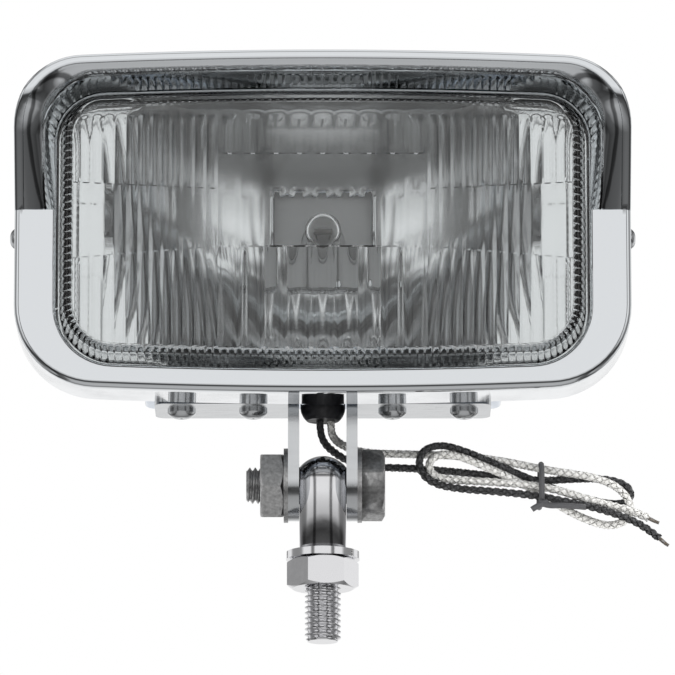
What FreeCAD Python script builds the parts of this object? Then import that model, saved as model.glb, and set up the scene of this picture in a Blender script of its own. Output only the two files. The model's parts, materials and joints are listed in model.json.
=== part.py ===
import FreeCAD, Part
import math
import os
import re
import types

import Sketcher

# Chromed fog light with a visor, on an M10 swivel stud. Millimetres, +Z up, the lamp faces -Y.
# The origin is on the stud's axis, at the lower face of the stud nut, where the free thread starts.

Vector = FreeCAD.Vector
X_AXIS, Y_AXIS, Z_AXIS = Vector(1, 0, 0), Vector(0, 1, 0), Vector(0, 0, 1)
CORNER_PER_FLATS = 1 / math.sqrt(3)  # a hexagon's corner radius for each unit across its flats

SIZES = [
    # alias, value, what it is
    ("thread_radius", 5.0, "M10 thread, major radius"),
    ("pitch_radius", 4.5, "M10 thread, pitch radius, where the stud nut grips"),
    ("free_thread", 14.6, "stud below its nut"),
    ("thread_chamfer", 0.9, "chamfer at a thread's end"),
    ("hex_across_flats", 17.0, "spanner size of nuts and bolt head"),
    ("stud_nut_height", 8.0, "stud nut"),
    ("stud_washer_radius", 10.0, "stud washer"),
    ("stud_washer_thick", 2.0, "stud washer"),
    ("barrel_length", 18.6, "knuckle shoulder to pivot axis"),
    ("barrel_radius", 8.1, "knuckle barrel and ball end"),
    ("barrel_flats", 12.7, "distance between the knuckle's flats"),
    ("pivot_clearance", 0.08, "radial clearance of the bolt in the knuckle"),
    ("ear_clearance", 0.1, "gap between a flat and an ear"),
    ("thread_clearance", 0.05, "radial clearance in a nut or a bolt hole's thread"),
    ("bolt_hole_clearance", 0.3, "radial clearance of washers and ears"),
    ("ear_thick", 3.0, "bracket ear"),
    ("flange_thick", 2.8, "bracket flange"),
    ("bracket_width", 19.5, "bracket, front to back"),
    ("bracket_reach", 39.4, "flange length from the ear's inner face"),
    ("flange_rise", 20.8, "pivot axis to the flange's underside"),
    ("flange_clip", 3.0, "clipped corners of the flange"),
    ("pivot_washer_radius", 10.15, "washers beside the ears"),
    ("pivot_washer_thick", 1.2, "washers beside the ears"),
    ("pivot_nut_height", 6.4, "thin nut on the pivot bolt"),
    ("bolt_head_height", 6.3, "pivot bolt"),
    ("bolt_length", 31.5, "pivot bolt under its head"),
    ("screw_radius", 2.0, "M4 bracket screws"),
    ("screw_head_radius", 3.85, "bracket screws"),
    ("screw_head_height", 2.0, "bracket screws"),
    ("screw_inner", 19.0, "inner screws from the middle"),
    ("screw_outer", 38.6, "outer screws from the middle"),
    ("screw_length", 9.5, "bracket screws under the head"),
    ("small_nut_flats", 7.0, "M4 nuts"),
    ("small_nut_height", 3.2, "M4 nuts"),
    ("strip_thick", 1.5, "backing strips"),
    ("strip_width", 14.0, "backing strips"),
    ("bezel_width", 167.0, "bezel"),
    ("bezel_height", 91.3, "bezel, at the middle"),
    ("bezel_rise", 20.2, "pivot axis to the bezel's lower edge"),
    ("bezel_front", 29.6, "stud axis to the front flange"),
    ("bezel_depth", 17.6, "bezel's side wall"),
    ("bezel_sheet", 0.8, "bezel sheet"),
    ("bezel_top_radius", 19.0, "upper corners"),
    ("bezel_bottom_radius", 22.5, "lower corners"),
    ("edge_bow_radius", 1450.0, "bow of the upper and lower edges"),
    ("edge_round", 1.6, "rounding between flange and side wall"),
    ("opening_width", 144.6, "lens opening"),
    ("opening_bottom_margin", 6.4, "bezel's lower edge to the opening"),
    ("opening_top_margin", 7.0, "bezel's upper edge to the opening"),
    ("opening_top_radius", 13.0, "opening's upper corners"),
    ("opening_bottom_radius", 16.0, "opening's lower corners"),
    ("visor_reach", 14.5, "visor in front of the flange"),
    ("visor_start", 50.1, "bezel's lower edge to the visor's lower ends"),
    ("visor_lip", 2.6, "visor's front lip"),
    ("visor_cove", 3.6, "depth of the cove behind the flange's plane"),
    ("lens_gap", 0.9, "lens wall to the opening"),
    ("lens_wall", 3.0, "glass thickness"),
    ("lens_draft", 1.4, "inward slope of the lens wall"),
    ("lens_reach", 6.2, "lens in front of the flange"),
    ("lens_rim", 3.2, "lens rim outside the opening"),
    ("gasket_thick", 1.0, "gasket"),
    ("gasket_window", 0.6, "opening to the gasket's inner edge"),
    ("reflector_sheet", 0.8, "reflector"),
    ("focal_length", 27.0, "reflector's parabola"),
    ("vertex_back", 13.0, "stud axis to the reflector's vertex"),
    ("axis_rise", 71.0, "pivot axis to the bulb's axis"),
    ("neck_width", 27.0, "square opening at the vertex"),
    ("holder_width", 31.0, "bulb holder plate"),
    ("housing_sheet", 1.0, "housing"),
    ("housing_inset", 3.4, "housing inside the bezel's outline"),
    ("housing_rim", 1.2, "thickness of the housing's front rim"),
    ("housing_back", 29.0, "stud axis to the housing's rear"),
    ("bridge_drop", 2.6, "bridge under the platform, between the ears"),
    ("bridge_thick", 2.8, "bridge, front to back"),
    ("housing_draft", 9.0, "inward slope of the bowl"),
    ("housing_round", 22.0, "rounding of the bowl's rear"),
    ("bezel_screw_radius", 1.5, "M3 side screws"),
    ("bezel_screw_head", 2.75, "side screw heads"),
    ("bezel_screw_rise", 45.3, "bezel's lower edge to the side screws"),
    ("bezel_screw_back", 14.4, "flange's plane to the side screws"),
    ("grommet_radius", 6.1, "grommet dome"),
    ("grommet_drop", 5.6, "grommet below the housing floor"),
    ("grommet_neck", 4.4, "grommet neck"),
    ("collar_height", 1.6, "grommet collar above the housing floor"),
    ("lead_black_radius", 1.05, "black braided lead"),
    ("lead_white_radius", 1.1, "white braided lead"),
    ("tail_radius", 0.9, "bulb's own wire"),
    ("tag_hole_radius", 1.6, "earth tag's hole"),
    ("tag_offset", 12.2, "earth tag from the bulb's axis, across and down"),
    ("strand_radius", 0.55, "bare strands"),
    ("strand_length", 3.6, "bare strands"),
    ("hank_back", 12.4, "stud axis to the hank's middle"),
    ("hank_thick", 6.6, "hank, front to back"),
    ("tie_thick", 0.9, "wire tie"),
    ("bulb_radius", 5.0, "bulb capsule"),
    ("bulb_length", 21.0, "bulb capsule from its base"),
    ("base_radius", 11.0, "bulb base disc"),
    ("base_thick", 1.6, "bulb base disc"),
]

doc = FreeCAD.newDocument("fog_light")
sheet = doc.addObject("Spreadsheet::Sheet", "sizes")
for line_number, (alias, amount, meaning) in enumerate(SIZES, start=1):
    sheet.set(f"A{line_number}", meaning)
    sheet.set(f"B{line_number}", str(amount))
    sheet.setAlias(f"B{line_number}", alias)
doc.recompute()

# The sheet's values, for the shapes that are built in code.
s = types.SimpleNamespace(**{alias: float(sheet.get(alias)) for alias, _, _ in SIZES})

# Places that follow from the sheet, as formulas of its names.
SHOULDER = "(stud_nut_height + stud_washer_thick)"
PIVOT = "(stud_nut_height + stud_washer_thick + barrel_length)"
EAR_IN = "(barrel_flats / 2 + ear_clearance)"
EAR_OUT = "(barrel_flats / 2 + ear_clearance + ear_thick)"
WASHER_OUT = "(barrel_flats / 2 + ear_clearance + ear_thick + pivot_washer_thick)"

pivot = s.stud_nut_height + s.stud_washer_thick + s.barrel_length
bezel_low = pivot + s.bezel_rise
bezel_high = bezel_low + s.bezel_height
flange_y = -s.bezel_front
skirt_y = flange_y + s.bezel_depth
flange_top = pivot + s.flange_rise + s.flange_thick
axis_z = pivot + s.axis_rise
nodes = []

# Where the black and the white lead pass the grommet, across, and how far both are behind the axis.
LEAD_EXITS = (-0.8, 2.2, 0.8)


def formula(text):
    """Point every size name in the text at its cell."""
    return re.sub(r"[a-z][a-z_0-9]+", lambda found: "sizes." + found.group(0), text)


def bind(thing, **formulas):
    """Bind properties to formulas; a double underscore stands for the dot in a property's path."""
    for path, text in formulas.items():
        thing.setExpression(path.replace("__", "."), formula(text))
    return thing


def keep(thing, label):
    """Name a finished sub-part; the label is its node and its file."""
    thing.Label = label
    nodes.append(thing)
    return thing


def combine(kind, name, *members):
    """A Part boolean: Cut takes a base and a tool, MultiFuse and MultiCommon take any number."""
    result = doc.addObject(kind, name)
    if kind == "Part::Cut":
        result.Base, result.Tool = members
    else:
        result.Shapes = list(members)
    return result


def cylinder(name, radius, height, base=("0", "0", "0"), axis="Z"):
    turn = {"X": FreeCAD.Rotation(Y_AXIS, 90), "Y": FreeCAD.Rotation(X_AXIS, -90)}
    rod = doc.addObject("Part::Cylinder", name)
    rod.Placement = FreeCAD.Placement(Vector(), turn.get(axis, FreeCAD.Rotation()))
    bind(rod, Radius=radius, Height=height)
    return bind(rod, **dict(zip(("Placement__Base__x", "Placement__Base__y", "Placement__Base__z"), base)))


def hexagon(name, across_flats, height, base, axis="Z", turn=0):
    """Hexagonal bar about its axis, turned by so many degrees."""
    bar = doc.addObject("Part::Prism", name)
    bar.Polygon = 6
    spin = FreeCAD.Rotation(Z_AXIS, turn)
    lean = FreeCAD.Rotation(Y_AXIS, 90) if axis == "X" else FreeCAD.Rotation()
    bar.Placement = FreeCAD.Placement(Vector(), lean * spin)
    bind(bar, Circumradius=f"{across_flats} * {CORNER_PER_FLATS}", Height=height)
    return bind(bar, **dict(zip(("Placement__Base__x", "Placement__Base__y", "Placement__Base__z"), base)))


def corner_cone(name, across_flats, height, base, axis="Z", both_ends=True):
    """The turned blank that rounds a hexagon's corners off at its ends."""
    slope = math.tan(math.radians(30))
    flat = doc.addObject("Part::Feature", name)
    radius = getattr(s, across_flats) / 2
    corner = radius / math.cos(math.radians(30))
    tall = getattr(s, height)
    face = radius * 0.97
    reach = corner * 1.02
    drop = (reach - face) * slope
    low = drop if both_ends else 0
    foot = face if both_ends else reach
    profile = [(0, 0), (foot, 0), (reach, low), (reach, tall - drop), (face, tall), (0, tall)]
    wire = Part.makePolygon([Vector(r, 0, z) for r, z in profile] + [Vector(0, 0, 0)])
    flat.Shape = Part.Face(wire).revolve(Vector(), Z_AXIS, 360)
    turned = FreeCAD.Rotation(Y_AXIS, 90) if axis == "X" else FreeCAD.Rotation()
    flat.Placement = FreeCAD.Placement(Vector(), turned)
    across, back, up = base
    return bind(flat, Placement__Base__x=across, Placement__Base__y=back, Placement__Base__z=up)


def hex_blank(name, across_flats, height, base, axis="Z", turn=0, both_ends=True):
    return combine(
        "Part::MultiCommon",
        name,
        hexagon(name + "_bar", across_flats, height, base, axis, turn),
        corner_cone(name + "_corners", across_flats, height, base, axis, both_ends),
    )


def origin_plane(body, role):
    return next(item for item in body.Origin.OriginFeatures if item.Role == role)


def new_body(name, rise="0"):
    """A PartDesign body whose origin stands at the given height on the stud's axis."""
    body = doc.addObject("PartDesign::Body", name)
    bind(body, Placement__Base__z=rise)
    return body


def sketch_on(body, plane, name):
    sketch = body.newObject("Sketcher::SketchObject", name)
    sketch.AttachmentSupport = [(origin_plane(body, plane), "")]
    sketch.MapMode = "FlatFace"
    return sketch


def measured(sketch, text):
    """The size in mm that a formula of the sheet's names gives."""
    value = sketch.evalExpression(formula(text))
    return float(getattr(value, "Value", value))


def pin_point(sketch, line, end, place):
    """Tie a line's end to its place, given as two formulas; a bare 0 puts it on the axis."""
    for kind, axis, text in (("DistanceX", -2, place[0]), ("DistanceY", -1, place[1])):
        if text == "0":
            sketch.addConstraint(Sketcher.Constraint("PointOnObject", line, end, axis))
            continue
        index = sketch.addConstraint(Sketcher.Constraint(kind, -1, 1, line, end, measured(sketch, text)))
        sketch.setExpression(f"Constraints[{index}]", formula(text))


def polygon_on(body, plane, name, corners):
    """A closed polygon; each corner is a pair of formulas of the sheet's names."""
    sketch = sketch_on(body, plane, name)
    places = []
    for pair in corners:
        across, up = (measured(sketch, text) for text in pair)
        places.append(Vector(across, up, 0))
    for start, end in zip(places, places[1:] + places[:1]):
        sketch.addGeometry(Part.LineSegment(start, end), False)
    for line in range(len(places)):
        sketch.addConstraint(Sketcher.Constraint("Coincident", line, 2, (line + 1) % len(places), 1))
    for line, pair in enumerate(corners):
        pin_point(sketch, line, 1, pair)
    return sketch


def circles_on(body, plane, name, circles):
    """Circles whose centres and radii are formulas."""
    sketch = sketch_on(body, plane, name)
    for index, (across, up, radius) in enumerate(circles):
        centre = Vector(measured(sketch, across), measured(sketch, up), 0)
        size = measured(sketch, radius)
        sketch.addGeometry(Part.Circle(centre, Z_AXIS, size), False)
        number = sketch.addConstraint(Sketcher.Constraint("Radius", index, size))
        sketch.setExpression(f"Constraints[{number}]", formula(radius))
        pin_point(sketch, index, 3, (across, up))
    return sketch


def pad(body, sketch, name, length, both_sides=False):
    feature = body.newObject("PartDesign::Pad", name)
    feature.Profile = sketch
    if both_sides:
        feature.SideType = "Symmetric"
    bind(feature, Length=length)
    return feature


def pocket_through(body, sketch, name):
    """A hole through everything, both ways from the sketch."""
    feature = body.newObject("PartDesign::Pocket", name)
    feature.Profile = sketch
    feature.SideType = "Symmetric"
    feature.Type = "ThroughAll"
    return feature


def turned(body, corners, name, plane="XZ_Plane", about="V_Axis"):
    """A solid of revolution of a polygon about one of the sketch's axes."""
    feature = body.newObject("PartDesign::Revolution", name)
    sketch = polygon_on(body, plane, name + "_profile", corners)
    feature.Profile = sketch
    feature.ReferenceAxis = (sketch, [about])
    feature.Angle = 360
    return feature


# ---------------------------------------------------------------- the swivel stud and its hardware


def make_swivel_stud():
    """Forged knuckle: a barrel with two flats, a ball end, a cross hole and the M10 stud."""
    body = new_body("swivel_stud_body")
    profile = [
        ("0", "-free_thread"),
        ("thread_radius - thread_chamfer", "-free_thread"),
        ("thread_radius", "thread_chamfer - free_thread"),
        ("thread_radius", "0"),
        ("pitch_radius", "0"),
        ("pitch_radius", SHOULDER),
        ("barrel_radius - 0.5", SHOULDER),
        ("barrel_radius", SHOULDER + " + 0.5"),
        ("barrel_radius", PIVOT),
        ("0", PIVOT),
    ]
    turned(body, profile, "stud_turning")
    ball = body.newObject("PartDesign::AdditiveSphere", "ball_end")
    bind(ball, Radius="barrel_radius", Placement__Base__z=PIVOT)
    for side in (1, -1):
        flat = body.newObject("PartDesign::SubtractiveBox", "flat_" + ("right" if side > 0 else "left"))
        bind(flat, Length="barrel_radius", Width="barrel_radius * 4", Height="barrel_length + barrel_radius * 2")
        across = "barrel_flats / 2" if side > 0 else "-barrel_flats / 2 - barrel_radius"
        bind(flat, Placement__Base__x=across, Placement__Base__y="-barrel_radius * 2", Placement__Base__z=SHOULDER)
    cross = body.newObject("PartDesign::SubtractiveCylinder", "cross_hole")
    cross.Placement = FreeCAD.Placement(Vector(), FreeCAD.Rotation(Y_AXIS, 90))
    bind(cross, Radius="thread_radius + pivot_clearance", Height="barrel_radius * 4")
    bind(cross, Placement__Base__x="-barrel_radius * 2", Placement__Base__z=PIVOT)
    keep(body, "swivel_stud")


def make_stud_hardware():
    washer = new_body("stud_washer_body", "stud_nut_height")
    rings = circles_on(
        washer, "XY_Plane", "washer_rings",
        [("0", "0", "stud_washer_radius"), ("0", "0", "pitch_radius + bolt_hole_clearance")],
    )
    pad(washer, rings, "washer_pad", "stud_washer_thick")
    keep(washer, "stud_washer")

    blank = hex_blank("stud_nut_blank", "hex_across_flats", "stud_nut_height", ("0", "0", "0"), turn=6)
    bore = cylinder("stud_nut_bore", "pitch_radius + thread_clearance", "stud_nut_height")
    keep(combine("Part::Cut", "stud_nut_solid", blank, bore), "stud_nut")


def make_pivot_hardware():
    """Bolt head on the right, nut on the left, a washer beside each ear."""
    head = hex_blank(
        "bolt_head", "hex_across_flats", "bolt_head_height", (WASHER_OUT, "0", PIVOT), "X", 20, both_ends=False
    )
    start = WASHER_OUT + " - bolt_length"
    shank = cylinder("bolt_shank", "thread_radius", "bolt_length - thread_chamfer",
                     (start + " + thread_chamfer", "0", PIVOT), "X")
    tip = doc.addObject("Part::Cone", "bolt_tip")
    tip.Placement = FreeCAD.Placement(Vector(), FreeCAD.Rotation(Y_AXIS, 90))
    bind(tip, Radius1="thread_radius - thread_chamfer", Radius2="thread_radius", Height="thread_chamfer")
    bind(tip, Placement__Base__x=start, Placement__Base__z=PIVOT)
    keep(combine("Part::MultiFuse", "pivot_bolt_solid", head, shank, tip), "pivot_bolt")

    nut_start = f"-{WASHER_OUT} - pivot_nut_height"
    blank = hex_blank(
        "pivot_nut_blank", "hex_across_flats", "pivot_nut_height", (nut_start, "0", PIVOT), "X", 42
    )
    bore = cylinder("pivot_nut_bore", "thread_radius + thread_clearance", "pivot_nut_height",
                    (nut_start, "0", PIVOT), "X")
    keep(combine("Part::Cut", "pivot_nut_solid", blank, bore), "pivot_nut")

    for side, start in (("right", EAR_OUT), ("left", f"-{WASHER_OUT}")):
        disc = cylinder(f"washer_disc_{side}", "pivot_washer_radius", "pivot_washer_thick", (start, "0", PIVOT), "X")
        hole = cylinder(f"washer_hole_{side}", "thread_radius + bolt_hole_clearance", "pivot_washer_thick",
                        (start, "0", PIVOT), "X")
        keep(combine("Part::Cut", f"pivot_washer_{side}_solid", disc, hole), f"pivot_washer_{side}")


# ---------------------------------------------------------------- the brackets and their fasteners


def make_bracket(side):
    """L-shaped bracket: an ear beside the knuckle, a flange under the housing."""
    name = "right" if side > 0 else "left"
    sign = "" if side > 0 else "-"
    body = new_body(f"bracket_{name}_body", PIVOT)
    half = "bracket_width / 2"
    strip = polygon_on(body, "XZ_Plane", f"bent_strip_{name}", [
        (f"{sign}{EAR_IN}", f"-{half}"),
        (f"{sign}{EAR_OUT}", f"-{half}"),
        (f"{sign}{EAR_OUT}", "flange_rise"),
        (f"{sign}({EAR_IN} + bracket_reach)", "flange_rise"),
        (f"{sign}({EAR_IN} + bracket_reach)", "flange_rise + flange_thick"),
        (f"{sign}{EAR_IN}", "flange_rise + flange_thick"),
    ])
    pad(body, strip, f"bracket_pad_{name}", "bracket_width", both_sides=True)

    # The ear's lower end is round about the pivot: two corner pieces are cut away in the YZ plane.
    rounding = sketch_on(body, "YZ_Plane", f"ear_round_{name}")
    radius = s.bracket_width / 2
    below = radius + 1
    for turn in (1, -1):
        first = rounding.GeometryCount
        arc = Part.Arc(Vector(turn * radius, 0, 0), Vector(turn * radius * math.sin(math.radians(45)),
                       -radius * math.cos(math.radians(45)), 0), Vector(0, -radius, 0))
        rounding.addGeometry(arc, False)
        rounding.addGeometry(Part.LineSegment(Vector(0, -radius, 0), Vector(0, -below, 0)), False)
        rounding.addGeometry(Part.LineSegment(Vector(0, -below, 0), Vector(turn * below, -below, 0)), False)
        rounding.addGeometry(Part.LineSegment(Vector(turn * below, -below, 0), Vector(turn * below, 0, 0)), False)
        rounding.addGeometry(Part.LineSegment(Vector(turn * below, 0, 0), Vector(turn * radius, 0, 0)), False)
        low_end, side_end = (1, 2) if turn > 0 else (2, 1)
        rounding.addConstraint(Sketcher.Constraint("Coincident", first, low_end, first + 1, 1))
        rounding.addConstraint(Sketcher.Constraint("Coincident", first + 1, 2, first + 2, 1))
        rounding.addConstraint(Sketcher.Constraint("Coincident", first + 2, 2, first + 3, 1))
        rounding.addConstraint(Sketcher.Constraint("Coincident", first + 3, 2, first + 4, 1))
        rounding.addConstraint(Sketcher.Constraint("Coincident", first + 4, 2, first, side_end))
        rounding.addConstraint(Sketcher.Constraint("Coincident", first, 3, -1, 1))
        number = rounding.addConstraint(Sketcher.Constraint("Radius", first, radius))
        rounding.setExpression(f"Constraints[{number}]", formula("bracket_width / 2"))
        pin_point(rounding, first + 1, 2, ("0", "-bracket_width / 2 - 1"))
        sideways = "bracket_width / 2 + 1" if turn > 0 else "-bracket_width / 2 - 1"
        pin_point(rounding, first + 2, 2, (sideways, "-bracket_width / 2 - 1"))
        pin_point(rounding, first + 3, 2, (sideways, "0"))
        rounding.addConstraint(Sketcher.Constraint("PointOnObject", first, low_end, -2))
    pocket_through(body, rounding, f"ear_round_cut_{name}")

    hole = circles_on(body, "YZ_Plane", f"ear_hole_{name}", [("0", "0", "thread_radius + bolt_hole_clearance")])
    pocket_through(body, hole, f"ear_hole_cut_{name}")
    screws = circles_on(body, "XY_Plane", f"flange_holes_{name}", [
        (f"{sign}screw_inner", "0", "screw_radius + bolt_hole_clearance"),
        (f"{sign}screw_outer", "0", "screw_radius + bolt_hole_clearance"),
    ])
    pocket_through(body, screws, f"flange_holes_cut_{name}")
    doc.recompute()

    outer_x = side * (s.barrel_flats / 2 + s.ear_clearance + s.bracket_reach)
    bend_x = side * (s.barrel_flats / 2 + s.ear_clearance)
    top = s.flange_rise + s.flange_thick

    def round_edges(feature_name, radius, belongs, upright_only=False):
        """Fillet the edges of the bracket so far that pass the test, or only those as long as the flange is thick."""
        doc.recompute()
        so_far = body.Tip
        found = []
        for index, edge in enumerate(so_far.Shape.Edges, start=1):
            ends = [vertex.Point for vertex in edge.Vertexes]
            if len(ends) == 2 and all(belongs(end) for end in ends) and belongs(edge.CenterOfMass):
                found.append((index, edge))
        if upright_only:
            found = [(index, edge) for index, edge in found if abs(edge.Length - s.flange_thick) < 0.1 * s.flange_thick]
        fillet = body.newObject("PartDesign::Fillet", feature_name)
        fillet.Base = (so_far, [f"Edge{index}" for index, _ in found])
        bind(fillet, Radius=radius)

    round_edges(f"flange_corners_{name}", "flange_clip",
                lambda p: abs(p.x - outer_x) < 0.01, upright_only=True)
    round_edges(f"bend_{name}", "ear_thick + 0.6",
                lambda p: abs(p.x - bend_x) < 0.01 and abs(p.z - top) < 0.01)
    keep(body, f"bracket_{name}")


def screw_places():
    for x in (-s.screw_outer, -s.screw_inner, s.screw_inner, s.screw_outer):
        yield Vector(x, 0, 0)


def pan_screw(radius, head_radius, head_height, length, recess):
    """Pan-head cross-recess screw with its head below z = 0 and its shank above."""
    edge = head_height * 0.35
    arc = Part.Arc(Vector(head_radius, 0, -edge), Vector(head_radius * 0.76, 0, -head_height * 0.8),
                   Vector(0, 0, -head_height)).toShape()
    lines = [
        Part.makeLine(Vector(0, 0, -head_height), Vector(0, 0, length)),
        Part.makeLine(Vector(0, 0, length), Vector(radius * 0.75, 0, length)),
        Part.makeLine(Vector(radius * 0.75, 0, length), Vector(radius, 0, length - radius * 0.25)),
        Part.makeLine(Vector(radius, 0, length - radius * 0.25), Vector(radius, 0, 0)),
        Part.makeLine(Vector(radius, 0, 0), Vector(head_radius, 0, 0)),
        Part.makeLine(Vector(head_radius, 0, 0), Vector(head_radius, 0, -edge)),
    ]
    profile = Part.Face(Part.Wire(Part.__sortEdges__([arc] + lines)))
    screw = profile.revolve(Vector(), Z_AXIS, 360)
    for turn in (0, 90):
        slot = Part.makeBox(recess * 2, recess * 0.42, head_height * 0.62,
                            Vector(-recess, -recess * 0.21, -head_height - 0.01))
        slot.rotate(Vector(), Z_AXIS, turn + 20)
        screw = screw.cut(slot)
    return screw


def hex_nut(across_flats, height, bore):
    corner = across_flats / 2 / math.cos(math.radians(30))
    ring = [Vector(corner * math.cos(math.radians(60 * i)), corner * math.sin(math.radians(60 * i)), 0)
            for i in range(7)]
    nut = Part.Face(Part.makePolygon(ring)).extrude(Vector(0, 0, height))
    return nut.cut(Part.makeCylinder(bore, height))


def feature(label, shape):
    """Keep a shape made in code as a sub-part of its own."""
    thing = doc.addObject("Part::Feature", label + "_solid")
    thing.Shape = shape
    return keep(thing, label)


def make_bracket_fasteners():
    under = pivot + s.flange_rise
    floor_top = flange_top + s.housing_sheet
    strip_top = floor_top + s.strip_thick
    screw = pan_screw(s.screw_radius, s.screw_head_radius, s.screw_head_height, s.screw_length,
                      s.screw_head_radius * 0.5)
    nut = hex_nut(s.small_nut_flats, s.small_nut_height, s.screw_radius + s.thread_clearance)
    screws, nuts = [], []
    for place in screw_places():
        screws.append(screw.translated(place + Vector(0, 0, under)))
        nuts.append(nut.translated(place + Vector(0, 0, strip_top)))
    feature("bracket_screws", Part.makeCompound(screws))
    feature("bracket_nuts", Part.makeCompound(nuts))
    strips = []
    for side in (-1, 1):
        middle = side * (s.screw_inner + s.screw_outer) / 2
        length = s.screw_outer - s.screw_inner + s.strip_width * 0.8
        strip = Part.makeBox(length, s.strip_width, s.strip_thick,
                             Vector(middle - length / 2, -s.strip_width / 2, floor_top))
        for place in screw_places():
            drill = Part.makeCylinder(s.screw_radius + s.bolt_hole_clearance, s.strip_thick,
                                      place + Vector(0, 0, floor_top))
            strip = strip.cut(drill)
        strips.append(strip)
    feature("backing_strips", Part.makeCompound(strips))


# ---------------------------------------------------------------- outlines of the lamp


def outline(half, low, high, low_radius, high_radius, y):
    """Rounded rectangle in the plane at y, its upper and lower edges gently bowed and tangent to the corners."""
    bow = s.edge_bow_radius

    def corner(radius, edge, way):
        across = half - radius
        centre = Vector(across, y, edge + way * (bow - math.sqrt((bow - radius) ** 2 - across ** 2)))
        big = Vector(0, y, edge + way * bow)
        touch = big + (centre - big).normalize() * bow
        side = Vector(half, y, centre.z)
        middle = centre + ((touch - centre).normalize() + (side - centre).normalize()).normalize() * radius
        return touch, middle, side

    def mirror(point):
        return Vector(-point.x, point.y, point.z)

    low_touch, low_mid, low_side = corner(low_radius, low, 1)
    top_touch, top_mid, top_side = corner(high_radius, high, -1)
    edges = [
        Part.Arc(mirror(low_touch), Vector(0, y, low), low_touch).toShape(),
        Part.Arc(low_touch, low_mid, low_side).toShape(),
        Part.makeLine(low_side, top_side),
        Part.Arc(top_side, top_mid, top_touch).toShape(),
        Part.Arc(top_touch, Vector(0, y, high), mirror(top_touch)).toShape(),
        Part.Arc(mirror(top_touch), mirror(top_mid), mirror(top_side)).toShape(),
        Part.makeLine(mirror(top_side), mirror(low_side)),
        Part.Arc(mirror(low_side), mirror(low_mid), mirror(low_touch)).toShape(),
    ]
    return Part.Wire(edges)


def bezel_outline(inset, y):
    return outline(s.bezel_width / 2 - inset, bezel_low + inset, bezel_high - inset,
                   max(s.bezel_bottom_radius - inset, 2), max(s.bezel_top_radius - inset, 2), y)


def opening_outline(growth, y):
    return outline(s.opening_width / 2 + growth, bezel_low + s.opening_bottom_margin - growth,
                   bezel_high - s.opening_top_margin + growth,
                   max(s.opening_bottom_radius + growth, 2), max(s.opening_top_radius + growth, 2), y)


def prism(wire, back_y):
    """Extrude an outline backwards to the plane at back_y."""
    face = Part.Face(wire)
    return face.extrude(Vector(0, back_y - face.BoundBox.YMin, 0))


def loft(*wires):
    return Part.makeLoft(list(wires), True, False)


def side_profile(points):
    """A prism across the whole lamp whose side view is the polygon of (y, z) points."""
    reach = s.bezel_width
    ring = [Vector(-reach, y, z) for y, z in points]
    return Part.Face(Part.makePolygon(ring + ring[:1])).extrude(Vector(2 * reach, 0, 0))


def make_bezel():
    """Front frame of formed sheet: skirt, flat flange and, above its step, the visor."""
    sheet_t = s.bezel_sheet
    visor_y = flange_y - s.visor_reach
    step_z = bezel_low + s.visor_start
    cove_y = flange_y + s.visor_cove
    over = bezel_high + 5
    shoulder_z = bezel_high - s.bezel_top_radius * 0.6

    def visor_zone(inset):
        """Side view of the visor; the inset moves its front and its step inwards."""
        return side_profile([
            (skirt_y + 1, step_z + inset), (flange_y + inset, step_z + inset),
            (visor_y + inset, shoulder_z), (visor_y + inset, over), (skirt_y + 1, over),
        ])

    box = prism(bezel_outline(0, flange_y), skirt_y)
    front = [edge for edge in box.Edges if abs(edge.BoundBox.YMax - flange_y) < 0.01
             and abs(edge.BoundBox.YMin - flange_y) < 0.01]
    box = box.makeFillet(s.edge_round, front)
    visor = prism(bezel_outline(0, visor_y), skirt_y).common(visor_zone(0))
    above = side_profile([(skirt_y + 1, step_z), (visor_y - 1, step_z), (visor_y - 1, over), (skirt_y + 1, over)])
    cone = loft(opening_outline(0, cove_y), bezel_outline(s.visor_lip, visor_y - 0.01))
    outside = box.fuse(visor).cut(cone.common(above))

    thick_cone = loft(opening_outline(sheet_t, cove_y + sheet_t), bezel_outline(s.visor_lip - sheet_t, visor_y - 0.01))
    hollow = prism(bezel_outline(sheet_t, flange_y + sheet_t), skirt_y + 1)
    visor_hollow = prism(bezel_outline(sheet_t, visor_y + 2 * sheet_t), skirt_y + 1)
    visor_hollow = visor_hollow.common(visor_zone(2 * sheet_t)).cut(thick_cone)
    hollow = hollow.cut(thick_cone.common(side_profile([
        (skirt_y + 1, step_z - sheet_t), (visor_y - 1, step_z - sheet_t), (visor_y - 1, over), (skirt_y + 1, over)
    ])))
    opening = prism(opening_outline(0, visor_y - 1), skirt_y + 1)
    shell = outside.cut(hollow).cut(visor_hollow)
    below = side_profile([(skirt_y, bezel_low - 5), (flange_y, bezel_low - 5), (flange_y, step_z), (skirt_y, step_z)])
    lip = prism(opening_outline(sheet_t, flange_y + sheet_t / 2), cove_y + sheet_t).common(below)
    shell = shell.fuse(lip).cut(opening)
    for side in (-1, 1):
        hole = Part.makeCylinder(s.bezel_screw_radius + s.bolt_hole_clearance, 6,
                                 Vector(side * s.bezel_width / 2 - 3, flange_y + s.bezel_screw_back,
                                        bezel_low + s.bezel_screw_rise), X_AXIS)
        shell = shell.cut(hole)
    feature("bezel", shell.removeSplitter())


# ---------------------------------------------------------------- glass and gasket

lip_y = flange_y + s.visor_cove + s.bezel_sheet  # where the bezel's turned-in lip presses on the gasket
rim_front = lip_y + s.gasket_thick
rim_back = rim_front + s.lens_wall
seat_y = rim_back + s.gasket_thick
rim_y = seat_y + s.reflector_sheet


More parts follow.
